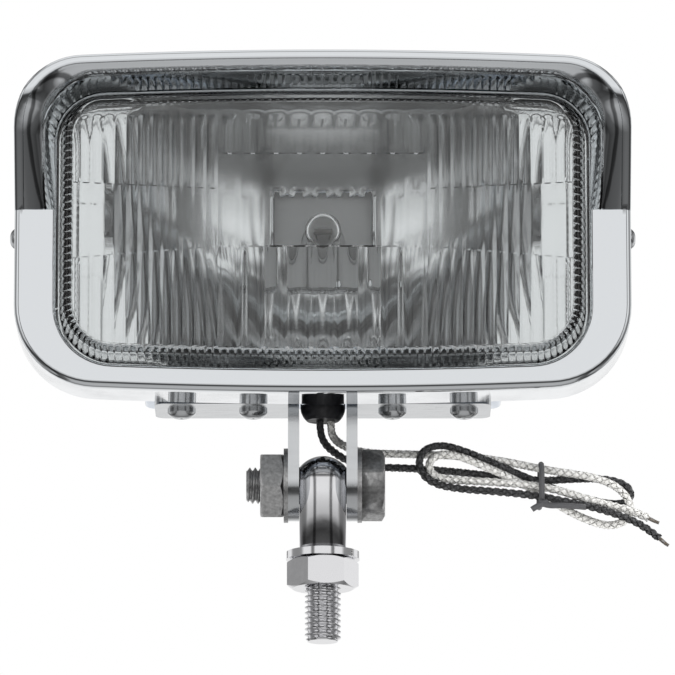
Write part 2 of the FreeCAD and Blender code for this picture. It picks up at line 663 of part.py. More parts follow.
def make_lens():
    """Pressed glass: a flat rim, a sloping wall and the front."""
    front_y = flange_y - s.lens_reach
    inside = s.lens_gap + s.lens_draft
    body = loft(opening_outline(-s.lens_gap, rim_front), opening_outline(-inside, front_y))
    edge = [e for e in body.Edges if abs(e.BoundBox.YMax - front_y) < 0.01]
    body = body.makeFillet(2.2, edge)
    rim = prism(opening_outline(s.lens_rim, rim_front), rim_back)
    hollow = loft(opening_outline(-s.lens_gap - s.lens_wall, rim_back + 0.01),
                  opening_outline(-inside - s.lens_wall, front_y + s.lens_wall))
    feature("lens", body.fuse(rim).cut(hollow).removeSplitter())


def make_gasket():
    outer = prism(opening_outline(s.lens_rim + s.gasket_thick, lip_y), seat_y)
    pocket = prism(opening_outline(s.lens_rim, rim_front), rim_back)
    window = prism(opening_outline(s.gasket_window, flange_y), seat_y + 1)
    feature("lens_gasket", outer.cut(pocket).cut(window))


# ---------------------------------------------------------------- reflector and bulb


def paraboloid(vertex_y, focal):
    """Solid inside a parabola of revolution about the bulb's axis, from its vertex to beyond the lens."""
    depth = vertex_y - flange_y + 10
    reach = math.sqrt(4 * focal * depth)
    curve = Part.BSplineCurve()
    curve.interpolate([Vector(reach * i / 16, vertex_y - (reach * i / 16) ** 2 / (4 * focal), 0) for i in range(17)])
    rim = Vector(reach, vertex_y - depth, 0)
    centre = Vector(0, vertex_y - depth, 0)
    edges = [curve.toShape(), Part.makeLine(rim, centre), Part.makeLine(centre, Vector(0, vertex_y, 0))]
    bowl = Part.Face(Part.Wire(Part.__sortEdges__(edges))).revolve(Vector(), Y_AXIS, 360)
    return bowl.translated(Vector(0, 0, axis_z))


def square(width, y, thick):
    """Rounded square plate about the bulb's axis."""
    plate = Part.makeBox(width, thick, width, Vector(-width / 2, y, axis_z - width / 2))
    corners = [e for e in plate.Edges if abs(e.tangentAt(0).y) > 0.9]
    return plate.makeFillet(width * 0.16, corners)


def make_reflector():
    """Sheet reflector: a parabola cut by the upper, lower and side walls, a rim and a square neck."""
    sheet_t = s.reflector_sheet
    cavity = paraboloid(s.vertex_back, s.focal_length)
    cavity = cavity.common(loft(opening_outline(-2, seat_y - 0.01), opening_outline(-5, s.vertex_back + 2)))
    skin = paraboloid(s.vertex_back + sheet_t, s.focal_length)
    skin = skin.common(loft(opening_outline(-2 + sheet_t, seat_y), opening_outline(-5 + sheet_t, s.vertex_back + 2)))
    skin = skin.common(side_profile([(seat_y, bezel_low), (s.vertex_back + 9, bezel_low),
                                     (s.vertex_back + 9, bezel_high), (seat_y, bezel_high)]))
    rim = prism(bezel_outline(s.bezel_sheet + 0.8, seat_y), rim_y)
    shell = skin.fuse(rim).cut(cavity)
    shell = shell.cut(square(s.neck_width, s.vertex_back - 9, 20))
    feature("reflector", shell)


def holder_y():
    """The plate lies just behind the reflector's vertex."""
    return s.vertex_back + s.reflector_sheet + 0.2


def make_bulb():
    """H3-style bulb: plate, disc base, capsule, filament, spring wire, tail and sleeve."""
    y0 = holder_y()
    plate_t = 1.2
    plate = square(s.holder_width, y0, plate_t)
    throat = Part.makeCylinder(s.bulb_radius + 1, plate_t, Vector(0, y0, axis_z), Y_AXIS)
    drill = Part.makeCylinder(s.tag_hole_radius, plate_t, Vector(s.tag_offset, y0, axis_z - s.tag_offset), Y_AXIS)
    feature("bulb_holder", plate.cut(throat).cut(drill))

    disc_y = y0 + plate_t
    disc = Part.makeCylinder(s.base_radius, s.base_thick, Vector(0, disc_y, axis_z), Y_AXIS)
    collar = Part.makeCylinder(s.bulb_radius + 0.6, plate_t + 1.5, Vector(0, disc_y - plate_t - 1.5, axis_z), Y_AXIS)
    socket = Part.makeCylinder(s.bulb_radius, plate_t + 1.5, Vector(0, disc_y - plate_t - 1.5, axis_z), Y_AXIS)
    stem = Part.makeCylinder(3.2, 4.0, Vector(0, disc_y + s.base_thick, axis_z), Y_AXIS)
    feature("bulb_base", disc.fuse(collar.cut(socket)).fuse(stem))

    tube = Part.makeCylinder(s.bulb_radius, s.bulb_length - s.bulb_radius,
                             Vector(0, disc_y - s.bulb_length + s.bulb_radius, axis_z), Y_AXIS)
    dome = Part.makeSphere(s.bulb_radius, Vector(0, disc_y - s.bulb_length + s.bulb_radius, axis_z))
    wall = 0.9
    bore = Part.makeCylinder(s.bulb_radius - wall, s.bulb_length - s.bulb_radius - 3,
                             Vector(0, disc_y - s.bulb_length + s.bulb_radius, axis_z), Y_AXIS)
    hollow = Part.makeSphere(s.bulb_radius - wall, Vector(0, disc_y - s.bulb_length + s.bulb_radius, axis_z))
    feature("bulb_glass", tube.fuse(dome).cut(bore.fuse(hollow)))

    coil_y = disc_y - s.bulb_length + s.bulb_radius + 1
    coil_radius, coil_length, post_radius = 0.8, 5.0, 0.3
    coil = Part.makeCylinder(coil_radius, coil_length, Vector(-coil_length / 2, coil_y, axis_z), X_AXIS)
    post_y = coil_y + coil_radius + 0.02
    posts = [Part.makeCylinder(post_radius, disc_y - 3 - post_y, Vector(x, post_y, axis_z), Y_AXIS)
             for x in (post_radius - coil_length / 2, coil_length / 2 - post_radius)]
    feature("bulb_filament", Part.makeCompound([coil] + posts))

    wire_y = disc_y + s.base_thick + 0.6
    span = s.base_radius - 2
    legs = [Part.makeCylinder(0.6, 2 * s.base_radius, Vector(x, wire_y, axis_z - s.base_radius), Z_AXIS)
            for x in (-span / 2, span / 2)]
    bar = Part.makeCylinder(0.6, span, Vector(-span / 2, wire_y, axis_z + s.base_radius), X_AXIS)
    knees = [Part.makeSphere(0.6, Vector(x, wire_y, axis_z + s.base_radius)) for x in (-span / 2, span / 2)]
    feature("bulb_clip", legs[0].fuse(legs[1]).fuse(bar).fuse(knees[0]).fuse(knees[1]))

    stem_y = disc_y + s.base_thick + 4.0
    tail_route = [Vector(0, stem_y, axis_z), Vector(0, stem_y + 2.6, axis_z),
                  Vector(-2.0, stem_y + 3.4, axis_z - 4.6), Vector(-3.4, stem_y + 2.4, axis_z - 11)]
    feature("bulb_tail", round_tube(tail_route, s.tail_radius, "bulb_tail"))
    return disc_y, tail_route


def make_wiring(disc_y, tail_route):
    """Inside the housing: the black lead feeds the bulb's sleeve, the white one is screwed to the holder."""
    end = tail_route[-1]
    way = (end - tail_route[-2]).normalize()
    sleeve_length = 12.0
    feature("bulb_connector", Part.makeCylinder(1.9, sleeve_length, end, way))
    foot = end + way * sleeve_length
    top = flange_top + s.housing_sheet + s.collar_height
    black_x, white_x, exit_y = LEAD_EXITS
    black = [foot, foot + way * 4, Vector(-5.4, 15.5, top + 14), Vector(-3.0, 9.5, top + 9.5),
             Vector(black_x, 4.0, top + 5.5), Vector(black_x, exit_y, top + 2.6), Vector(black_x, exit_y, top)]
    feature("inner_lead_black", round_tube(black, s.lead_black_radius, "inner_lead_black"))

    tag_x, tag_z = s.tag_offset, axis_z - s.tag_offset
    tag = Part.makeCylinder(3.0, 0.8, Vector(tag_x, disc_y, tag_z), Y_AXIS)
    tongue = Part.makeBox(3.2, 0.8, 9, Vector(tag_x - 1.6, disc_y, tag_z - 9))
    barrel = Part.makeCylinder(1.7, 5, Vector(tag_x, disc_y + 1.7, tag_z - 13), Z_AXIS)
    hole = Part.makeCylinder(s.tag_hole_radius, 0.8, Vector(tag_x, disc_y, tag_z), Y_AXIS)
    feature("earth_tag", tag.fuse(tongue).fuse(barrel).cut(hole))
    screw = pan_screw(s.tag_hole_radius - s.thread_clearance, 2.8, 2.0, 4.4, 1.3)
    screw.rotate(Vector(), X_AXIS, 90)
    feature("earth_screw", screw.translated(Vector(tag_x, disc_y + 0.8, tag_z)))
    barrel_end = Vector(tag_x, disc_y + 1.7, tag_z - 13)
    white = [barrel_end, barrel_end - Vector(0, 0, 4), Vector(9.6, 14.0, top + 12.5), Vector(5.6, 8.8, top + 8.6),
             Vector(white_x, 4.0, top + 5.4), Vector(white_x, exit_y, top + 2.6), Vector(white_x, exit_y, top)]
    feature("inner_lead_white", round_tube(white, s.lead_white_radius, "inner_lead_white"))


# ---------------------------------------------------------------- housing


def bowl(extra, first_y, last_y):
    """The bowl's form, each section of the bezel's outline drawn in by a rule; extra is the wall taken off."""
    sections = []
    count = 7
    rear = s.housing_back
    for index in range(count):
        y = first_y + (last_y - first_y) * index / (count - 1)
        part = max((y - skirt_y) / (rear - skirt_y), 0)
        inset = s.housing_inset + s.housing_draft * part + s.housing_round * part ** 4 + extra
        radius = (s.bezel_bottom_radius - s.housing_inset) * (1 - part) + 8 * part
        sections.append(outline(s.bezel_width / 2 - inset, bezel_low + inset, bezel_high - inset, radius, radius, y))
    return Part.makeLoft(sections, True, False)


def pad_block(extra):
    """Flat platform pressed into the bowl's floor for the brackets."""
    half = s.barrel_flats / 2 + s.ear_clearance + s.bracket_reach + 3 - extra
    block = Part.makeBox(2 * half, s.bracket_width + 3 - 2 * extra, 14,
                         Vector(-half, -s.bracket_width / 2 - 1.0 + extra, flange_top + extra))
    upright = [e for e in block.Edges if abs(e.tangentAt(0).z) > 0.9]
    return block.makeFillet(3.0 - extra, upright)


def make_housing():
    """Drawn bowl with a rim at the front, a flat platform below and a hole for the grommet."""
    wall = s.housing_sheet
    front = bowl(0, rim_y, s.housing_back)
    rim = prism(bezel_outline(s.bezel_sheet + 0.25, rim_y), rim_y + s.housing_rim)
    bridge_half = s.barrel_flats / 2 - 0.15
    bridge = Part.makeBox(2 * bridge_half, s.bridge_thick, s.bridge_drop + wall,
                          Vector(-bridge_half, -s.bracket_width / 2 - 0.5, flange_top - s.bridge_drop))
    outside = front.fuse(rim).fuse(pad_block(0)).fuse(bridge)
    inside = bowl(wall, rim_y - 0.01, s.housing_back - wall).fuse(pad_block(wall))
    shell = outside.cut(inside)
    for place in screw_places():
        shell = shell.cut(Part.makeCylinder(s.screw_radius + s.bolt_hole_clearance, wall * 3,
                                            place + Vector(0, 0, flange_top - wall)))
    shell = shell.cut(Part.makeCylinder(s.grommet_neck + 0.1, wall * 3, Vector(0, 0, flange_top - wall)))
    reach = s.bezel_width / 2
    for side in (-1, 1):
        shell = shell.cut(Part.makeCylinder(s.bezel_screw_radius + s.bolt_hole_clearance, 8,
                                            Vector(side * reach - (8 if side > 0 else 0),
                                                   flange_y + s.bezel_screw_back,
                                                   bezel_low + s.bezel_screw_rise), X_AXIS))
    feature("housing", shell)


def make_bezel_fasteners():
    y, z = flange_y + s.bezel_screw_back, bezel_low + s.bezel_screw_rise
    reach = s.bezel_width / 2
    screw = pan_screw(s.bezel_screw_radius, s.bezel_screw_head, 1.6, 9.0, 1.3)
    nut = hex_nut(5.5, 2.4, s.bezel_screw_radius + s.thread_clearance)
    inner = s.housing_inset + s.housing_sheet + 0.05
    screws, nuts = [], []
    for side in (-1, 1):
        turned_screw = screw.copy()
        turned_screw.rotate(Vector(), Y_AXIS, -90 * side)
        screws.append(turned_screw.translated(Vector(side * reach, y, z)))
        turned_nut = nut.copy()
        turned_nut.rotate(Vector(), Y_AXIS, -90 * side)
        nuts.append(turned_nut.translated(Vector(side * (reach - inner), y, z)))
    feature("bezel_screws", Part.makeCompound(screws))
    feature("bezel_nuts", Part.makeCompound(nuts))


def make_grommet():
    """Rubber dome below the floor, a neck through it and a collar above."""
    floor, top = flange_top, flange_top + s.housing_sheet
    bottom = floor - s.grommet_drop
    flat = s.grommet_radius * 0.72
    neck, dome = s.grommet_neck, s.grommet_radius
    shape_edges = [
        Part.makeLine(Vector(0, 0, bottom), Vector(flat, 0, bottom)),
        Part.Arc(Vector(flat, 0, bottom), Vector(dome * 0.94, 0, bottom + s.grommet_drop * 0.33),
                 Vector(dome, 0, floor - s.grommet_drop * 0.2)).toShape(),
        Part.makeLine(Vector(dome, 0, floor - s.grommet_drop * 0.2), Vector(dome, 0, floor)),
        Part.makeLine(Vector(dome, 0, floor), Vector(neck, 0, floor)),
        Part.makeLine(Vector(neck, 0, floor), Vector(neck, 0, top)),
        Part.makeLine(Vector(neck, 0, top), Vector(dome - 0.4, 0, top)),
        Part.makeLine(Vector(dome - 0.4, 0, top), Vector(dome - 1.2, 0, top + s.collar_height)),
        Part.makeLine(Vector(dome - 1.2, 0, top + s.collar_height), Vector(0, 0, top + s.collar_height)),
        Part.makeLine(Vector(0, 0, top + s.collar_height), Vector(0, 0, bottom)),
    ]
    profile = Part.Face(Part.Wire(shape_edges))
    feature("grommet", profile.revolve(Vector(), Z_AXIS, 360))
    return bottom


# ---------------------------------------------------------------- leads


def rounded_path(points, report=""):
    """Straight runs joined by tangent arcs, each arc as large as its two runs allow."""
    edges = []
    radii = []
    start = points[0]
    for before, corner, after in zip(points, points[1:], points[2:]):
        arriving, leaving = corner - before, after - corner
        shorter = min(arriving.Length, leaving.Length)
        arriving.normalize()
        leaving.normalize()
        half_turn = arriving.getAngle(leaving) / 2
        cut = 0.45 * shorter
        radii.append(cut / math.tan(half_turn))
        first, last = corner - arriving * cut, corner + leaving * cut
        inward = (leaving - arriving).normalize()
        middle = corner + inward * (radii[-1] / math.cos(half_turn) - radii[-1])
        edges.append(Part.LineSegment(start, first).toShape())
        edges.append(Part.Arc(first, middle, last).toShape())
        start = last
    edges.append(Part.LineSegment(start, points[-1]).toShape())
    if report:
        print(report, "radii", [round(radius, 1) for radius in radii])
    return Part.Wire(edges)


def round_tube(points, radius, report=""):
    """A round tube along the rounded path; its volume is compared with section times length."""
    path = rounded_path(points, report)
    ring = Part.Wire(Part.makeCircle(radius, points[0], points[1] - points[0]))
    tube = path.makePipeShell([ring], True, True)
    expected = math.pi * radius ** 2 * path.Length
    if abs(tube.Volume - expected) > 0.03 * expected:
        raise ValueError(f"{report} tube volume {tube.Volume:.1f} is not {expected:.1f}")
    if report:
        print(report, "length", round(path.Length, 1), "volume", round(tube.Volume, 1), "of", round(expected, 1))
    return tube


# Routes as (x, y, z) with z from the pivot axis: from the grommet to the hank, and from the hank to the ends.
BLACK_OUT = [(-0.8, 0.8, 18.0), (-0.8, 0.8, 15.6), (0.2, 4.6, 12.8), (3.6, 10.4, 10.9), (8.0, 14.6, 9.3),
             (13.4, 15.4, 8.3), (19.8, 13.9, 7.8), (26.8, 12.9, 7.5)]
WHITE_OUT = [(2.2, 0.8, 18.0), (2.2, 0.8, 16.0), (2.7, 4.8, 14.4), (5.0, 10.8, 13.6), (8.8, 15.1, 12.8),
             (14.2, 15.8, 12.2), (20.6, 14.3, 11.8), (28.2, 13.2, 11.5)]
BLACK_END = [(83.4, 11.6, -6.6), (88.4, 11.2, -9.3), (92.6, 11.6, -12.6)]
WHITE_END = [(84.0, 12.6, -3.9), (86.8, 12.9, -5.0), (89.6, 12.8, -6.9)]
HANK_SHAPE = [(26.4, 5.0), (27.6, 11.6), (32.8, 15.0), (44.0, 12.4), (60.0, 7.6), (75.0, 5.4), (84.0, 2.0),
              (84.6, -6.4), (80.6, -9.4), (70.0, -6.6), (58.0, -2.4), (42.0, -0.9), (31.6, 1.0)]
TIE_PLACE, TIE_WIDTH = 59.6, 1.8


def lifted(route):
    return [Vector(x, y, z + pivot) for x, y, z in route]


def make_leads(grommet_bottom):
    """Two leads as plain tubes, and the hank as one closed solid of its outer shape."""
    exits = {"black": (BLACK_OUT, BLACK_END, s.lead_black_radius), "white": (WHITE_OUT, WHITE_END, s.lead_white_radius)}
    ring = [Vector(x, s.hank_back - s.hank_thick / 2, z + pivot) for x, z in HANK_SHAPE]
    hank_wire = closed_path(ring)
    hank = Part.Face(hank_wire).extrude(Vector(0, s.hank_thick, 0))
    feature("lead_hank", hank)
    for colour, (way_out, end, radius) in exits.items():
        route = lifted(way_out)
        route[0].z = grommet_bottom
        feature(f"lead_{colour}", round_tube(route, radius, f"lead_{colour}").cut(hank))
        tail = lifted(end)
        feature(f"tail_{colour}", round_tube(tail, radius, f"tail_{colour}").cut(hank))
        way = (tail[-1] - tail[-2]).normalize()
        feature(f"strands_{colour}", Part.makeCylinder(s.strand_radius, s.strand_length, tail[-1], way))
    slab = Part.makeBox(TIE_WIDTH, s.hank_thick + 2 * s.tie_thick, 60,
                        Vector(TIE_PLACE - TIE_WIDTH / 2, s.hank_back - s.hank_thick / 2 - s.tie_thick, pivot - 30))
    band = hank.common(Part.makeBox(TIE_WIDTH, 40, 60, Vector(TIE_PLACE - TIE_WIDTH / 2, -10, pivot - 30)))
    low, high = band.BoundBox.ZMin - s.tie_thick, band.BoundBox.ZMax + s.tie_thick
    slab = slab.common(Part.makeBox(200, 80, high - low, Vector(0, -20, low)))
    feature("lead_tie", slab.cut(hank))


def closed_path(points):
    """A closed polygon with each corner rounded by a tangent arc."""
    count = len(points)
    edges = []
    ends = []
    for index in range(count):
        before, corner, after = points[index - 1], points[index], points[(index + 1) % count]
        arriving, leaving = corner - before, after - corner
        cut = 0.4 * min(arriving.Length, leaving.Length)
        arriving.normalize()
        leaving.normalize()
        half_turn = arriving.getAngle(leaving) / 2
        radius = cut / math.tan(half_turn)
        inward = (leaving - arriving).normalize()
        middle = corner + inward * (radius / math.cos(half_turn) - radius)
        ends.append((corner - arriving * cut, middle, corner + leaving * cut))
    for (_, _, leave), (arrive, middle, after) in zip(ends, ends[1:] + ends[:1]):
        edges.append(Part.makeLine(leave, arrive))
        edges.append(Part.Arc(arrive, middle, after).toShape())
    return Part.Wire(edges)


# ---------------------------------------------------------------- build, check and write

make_swivel_stud()
make_stud_hardware()
make_pivot_hardware()
make_bracket(1)
make_bracket(-1)
make_bracket_fasteners()
make_bezel()
make_lens()
make_gasket()
make_reflector()
make_wiring(*make_bulb())
make_housing()
make_bezel_fasteners()
make_leads(make_grommet())
doc.recompute()

for thing in doc.Objects:
    if "Invalid" in thing.State or "Error" in thing.State:
        raise RuntimeError(f"{thing.Label} failed: {thing.State}")
for thing in nodes:
    if thing.Shape.isNull() or not thing.Shape.isValid() or not thing.Shape.Solids:
        raise RuntimeError(f"{thing.Label} has no valid solid")

os.makedirs("parts", exist_ok=True)
for thing in nodes:
    thing.Shape.exportStep(f"parts/{thing.Label}.step")
    box = thing.Shape.BoundBox
    print(f"{thing.Label:20s} {len(thing.Shape.Solids)} solids, volume {thing.Shape.Volume:9.1f}, "
          f"x {box.XMin:6.1f}..{box.XMax:6.1f}, y {box.YMin:6.1f}..{box.YMax:6.1f}, z {box.ZMin:6.1f}..{box.ZMax:6.1f}")
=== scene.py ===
# %% [markdown]
# # A chromed fog light with a visor, on a swivel stud
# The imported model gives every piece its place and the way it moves.
# This lesson makes the surfaces: plated metal, pressed glass, rubber and braided leads.

import json
import math

import bmesh
import bpy
import numpy as np
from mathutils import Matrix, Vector


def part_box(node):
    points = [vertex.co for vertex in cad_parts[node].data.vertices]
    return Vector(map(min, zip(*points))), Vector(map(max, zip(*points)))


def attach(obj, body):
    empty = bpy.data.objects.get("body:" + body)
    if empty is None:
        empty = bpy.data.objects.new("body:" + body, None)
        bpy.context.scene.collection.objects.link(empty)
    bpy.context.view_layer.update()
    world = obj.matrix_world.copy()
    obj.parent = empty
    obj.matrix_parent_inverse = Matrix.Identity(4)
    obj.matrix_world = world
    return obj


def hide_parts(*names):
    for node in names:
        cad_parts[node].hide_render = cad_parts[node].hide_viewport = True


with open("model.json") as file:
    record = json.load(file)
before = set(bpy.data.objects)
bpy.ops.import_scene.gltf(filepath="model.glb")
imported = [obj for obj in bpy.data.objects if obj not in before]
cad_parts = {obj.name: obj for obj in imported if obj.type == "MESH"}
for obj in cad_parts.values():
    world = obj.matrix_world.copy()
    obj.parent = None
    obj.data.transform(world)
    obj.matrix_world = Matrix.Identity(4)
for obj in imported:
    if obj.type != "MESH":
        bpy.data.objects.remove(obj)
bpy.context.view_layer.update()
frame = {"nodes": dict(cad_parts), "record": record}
MM = 0.001
nodes = frame["nodes"]
joint = frame["record"]["behaviour"]["joints"][0]
pivot = joint["pos_m"][2] / MM


def box_mm(name):
    low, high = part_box(name)
    return np.array(low) / MM, np.array(high) / MM


# %% [markdown]
# ## The camera
# A long lens two metres away keeps the lamp's sides almost parallel, as a catalogue view has them.
# It looks up by 12.5 degrees, so the undersides of the brackets and the nut show.

# %% Camera
scene = bpy.context.scene
RISE = math.radians(12.5)
DISTANCE = 2.0
aim = Vector((0.0040, 0.0, 0.0700))
camera_data = bpy.data.cameras.new("camera")
camera_data.sensor_width = 36.0
camera_data.lens = 389.3
camera_data.clip_end = 50
camera = bpy.data.objects.new("camera", camera_data)
scene.collection.objects.link(camera)
camera.location = aim + DISTANCE * Vector((0, -math.cos(RISE), -math.sin(RISE)))
camera.rotation_euler = (math.radians(90) + RISE, 0, 0)
scene.camera = camera
scene.view_settings.view_transform = "Standard"
print("camera at", tuple(round(v, 3) for v in camera.location))

# %% [markdown]
# ## The studio
# Chrome shows nothing but its surroundings, so the room is designed first.
# It is white behind the lamp, pale in front, and dark below the camera and in narrow bands,
# which draw the dark lines along the bezel's rounded edges.


# %% Node helpers
def linear(hex_colour, alpha=True):
    """An sRGB hex colour as linear values, which the shaders need."""
    parts = [int(hex_colour[i:i + 2], 16) / 255 for i in (0, 2, 4)]
    values = [c / 12.92 if c <= 0.04045 else ((c + 0.055) / 1.055) ** 2.4 for c in parts]
    return tuple(values) + ((1.0,) if alpha else ())


def node(tree, kind, inputs=None, **settings):
    """Add a node, set its properties, and fill or link its inputs."""
    made = tree.nodes.new(kind)
    for name, value in settings.items():
        setattr(made, name, value)
    for socket, value in (inputs or {}).items():
        target = made.inputs[socket]
        if isinstance(value, bpy.types.NodeSocket):
            tree.links.new(value, target)
        else:
            target.default_value = value
    return made


def ramp_stops(ramp, stops):
    """Give a colour ramp its stops, as (position, grey or hex colour)."""
    elements = ramp.color_ramp.elements
    while len(elements) > 1:
        elements.remove(elements[-1])
    for number, (place, tone) in enumerate(stops):
        stop = elements[0] if number == 0 else elements.new(place)
        stop.position = place
        stop.color = linear(tone) if isinstance(tone, str) else (tone, tone, tone, 1)
    return ramp


# %% World
world = bpy.data.worlds.new("studio")
scene.world = world
world.use_nodes = True
sky = world.node_tree
sky.nodes.clear()
way = node(sky, "ShaderNodeTexCoord").outputs["Generated"]
split = node(sky, "ShaderNodeSeparateXYZ", {0: way})
height = node(sky, "ShaderNodeMapRange", {"Value": split.outputs["Z"], "From Min": -1.0, "From Max": 1.0})
# From straight down to straight up: floor, dark skirting, pale wall, dark gap, ceiling softbox.
front = ramp_stops(node(sky, "ShaderNodeValToRGB", {0: height.outputs[0]}), [
    (0.0, 0.46), (0.13, 0.42), (0.20, 0.10), (0.31, 0.04), (0.36, 0.10), (0.41, 0.50), (0.49, 0.66),
    (0.56, 0.84), (0.64, 0.80), (0.69, 0.82), (0.74, 0.20), (0.78, 0.14), (0.83, 0.70), (1.0, 0.80)])
back = ramp_stops(node(sky, "ShaderNodeValToRGB", {0: height.outputs[0]}), [
    (0.0, 0.45), (0.14, 0.16), (0.30, 0.60), (0.38, 0.78), (0.50, 0.88), (0.60, 0.84), (0.70, 0.42),
    (0.80, 0.16), (0.90, 0.30), (0.96, 0.85), (1.0, 0.95)])
behind = node(sky, "ShaderNodeMapRange", {"Value": split.outputs["Y"], "From Min": -0.15, "From Max": 0.25},
              interpolation_type="SMOOTHSTEP")
room = node(sky, "ShaderNodeMix", {0: behind.outputs[0]}, data_type="RGBA")
for socket in room.inputs:
    if socket.type == "RGBA" and not socket.is_linked:
        sky.links.new((front if socket.name == "A" else back).outputs[0], socket)
mixed = next(o for o in room.outputs if o.type == "RGBA")
across = node(sky, "ShaderNodeMath", {0: split.outputs["X"]}, operation="ABSOLUTE")
flags = ramp_stops(node(sky, "ShaderNodeValToRGB", {0: across.outputs[0]}), [
    (0.0, 1.0), (0.40, 1.0), (0.46, 0.30), (0.56, 0.22), (0.62, 1.0), (0.86, 1.0), (0.93, 0.35), (1.0, 0.30)])
shaded = node(sky, "ShaderNodeMix", {0: 1.0}, data_type="RGBA", blend_type="MULTIPLY")
colour_sockets = [i for i in shaded.inputs if i.type == "RGBA"]
sky.links.new(mixed, colour_sockets[0])
sky.links.new(flags.outputs[0], colour_sockets[1])
tinted = next(o for o in shaded.outputs if o.type == "RGBA")
seen = node(sky, "ShaderNodeLightPath").outputs["Is Camera Ray"]
room_light = node(sky, "ShaderNodeBackground", {"Color": tinted, "Strength": 1.10})
white_sheet = node(sky, "ShaderNodeBackground", {"Color": (1, 1, 1, 1), "Strength": 1.0})
choice = node(sky, "ShaderNodeMixShader", {0: seen, 1: room_light.outputs[0], 2: white_sheet.outputs[0]})
node(sky, "ShaderNodeOutputWorld", {"Surface": choice.outputs[0]})
print("studio of", len(sky.nodes), "nodes")


# %% Lamps and floor
def area_light(name, place, target, size, power):
    data = bpy.data.lights.new(name, "AREA")
    data.shape = "RECTANGLE"
    data.size, data.size_y = size
    data.energy = power
    light = bpy.data.objects.new(name, data)
    scene.collection.objects.link(light)
    light.location = place
    light.visible_glossy = False
    light.visible_transmission = False
    light.rotation_euler = (Vector(target) - Vector(place)).to_track_quat("-Z", "Y").to_euler()
    return light


middle = (0, 0, 0.09)
area_light("top_softbox", (0.0, -0.35, 1.25), middle, (1.4, 0.9), 16)
area_light("left_softbox", (-1.3, -0.9, 0.55), middle, (0.6, 1.2), 14)
FLOOR_Z = -0.48
floor_mesh = bpy.data.meshes.new("studio_floor")
FLOOR_RADIUS = 2.4
FLOOR_SIDES = 96
floor_turns = np.linspace(0, 2 * math.pi, FLOOR_SIDES, endpoint=False)
rim_points = [(FLOOR_RADIUS * math.cos(t), FLOOR_RADIUS * math.sin(t), FLOOR_Z) for t in floor_turns]
floor_mesh.from_pydata(rim_points, [], [tuple(range(FLOOR_SIDES))])
floor = bpy.data.objects.new("studio_floor", floor_mesh)
scene.collection.objects.link(floor)
floor.visible_glossy = False
floor.visible_transmission = False
area_light("right_softbox", (1.4, -0.7, 0.45), middle, (0.6, 1.1), 14)

# %% [markdown]
# ## Helpers for meshes
# Most pieces are rings of points joined by quads, so one function makes an object from points and faces,
# merges what lies together, and turns the faces outwards.


# %% Mesh helpers
def mesh_object(name, points, faces, sharp=35, outward=True):
    """An object from points in millimetres. Closed forms get their faces turned outwards."""
    form = bmesh.new()
    corners = [form.verts.new(Vector(p) * MM) for p in points]
    for face in faces:
        ring = list(dict.fromkeys(face))
        if len(ring) > 2:
            try:
                form.faces.new([corners[i] for i in ring])
            except ValueError:
                continue
    bmesh.ops.remove_doubles(form, verts=form.verts, dist=1e-7)
    bmesh.ops.dissolve_degenerate(form, edges=form.edges, dist=1e-7)
    loose = [v for v in form.verts if not v.link_faces]
    bmesh.ops.delete(form, geom=loose, context="VERTS")
    if outward:
        bmesh.ops.recalc_face_normals(form, faces=form.faces)
        if form.calc_volume(signed=True) < 0:
            bmesh.ops.reverse_faces(form, faces=form.faces)
    mesh = bpy.data.meshes.new(name)
    form.to_mesh(mesh)
    form.free()
    mesh.shade_smooth()
    mesh.set_sharp_from_angle(angle=math.radians(sharp))
    made = bpy.data.objects.new(name, mesh)
    scene.collection.objects.link(made)
    return made


def applied(thing):
    """Turn an object with modifiers into a plain mesh object of the same name."""
    plain = bpy.data.meshes.new_from_object(thing.evaluated_get(bpy.context.evaluated_depsgraph_get()))
    thing.modifiers.clear()
    if thing.type == "MESH":
        thing.data = plain
        return thing
    name = thing.name
    bpy.data.objects.remove(thing)
    made = bpy.data.objects.new(name, plain)
    scene.collection.objects.link(made)
    return made


def joined(name, things):
    """One mesh object from several plain ones at the origin."""
    form = bmesh.new()
    for thing in things:
        form.from_mesh(thing.data)
        bpy.data.objects.remove(thing)
    mesh = bpy.data.meshes.new(name)
    form.to_mesh(mesh)
    form.free()
    made = bpy.data.objects.new(name, mesh)
    scene.collection.objects.link(made)
    return made


def place(piece, body, slot, material, *replaced):
    """Material, body and the CAD nodes that the piece stands for; the slot is not used."""
    piece.data.materials.clear()
    piece.data.materials.append(material)
    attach(piece, body)
    if replaced:
        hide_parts(*replaced)
    count = sum(len(p.vertices) - 2 for p in piece.data.polygons) if piece.type == "MESH" else 0
    print(piece.name, "rides on", body, "with", count, "triangles")
    return piece


def ring_faces(rows, columns, first=0):
    """Quads between closed rings of points that follow one another."""
    faces = []
    for row in range(rows - 1):
        for column in range(columns):
            a = first + row * columns + column
            b = first + row * columns + (column + 1) % columns
            faces.append((a, b, b + columns, a + columns))
    return faces

# %% [markdown]
# ## Finishes
# Each finish starts from what the real one is and how it was made.
# Plated metal differs mostly in how sharp its reflections are, so the roughness carries the work.


# %% Finish helpers
def finish(name, colour, metallic=0.0, roughness=0.5, **sockets):
    """A new material with its principled shader set on the shader's own sockets."""
    made = bpy.data.materials.new(name)
    made.use_nodes = True
    shader = made.node_tree.nodes["Principled BSDF"]
    shader.inputs["Base Color"].default_value = linear(colour)
    shader.inputs["Metallic"].default_value = metallic
    shader.inputs["Roughness"].default_value = roughness
    for socket, value in sockets.items():
        shader.inputs[socket.replace("_", " ")].default_value = value
    made["shader"] = shader.name
    return made


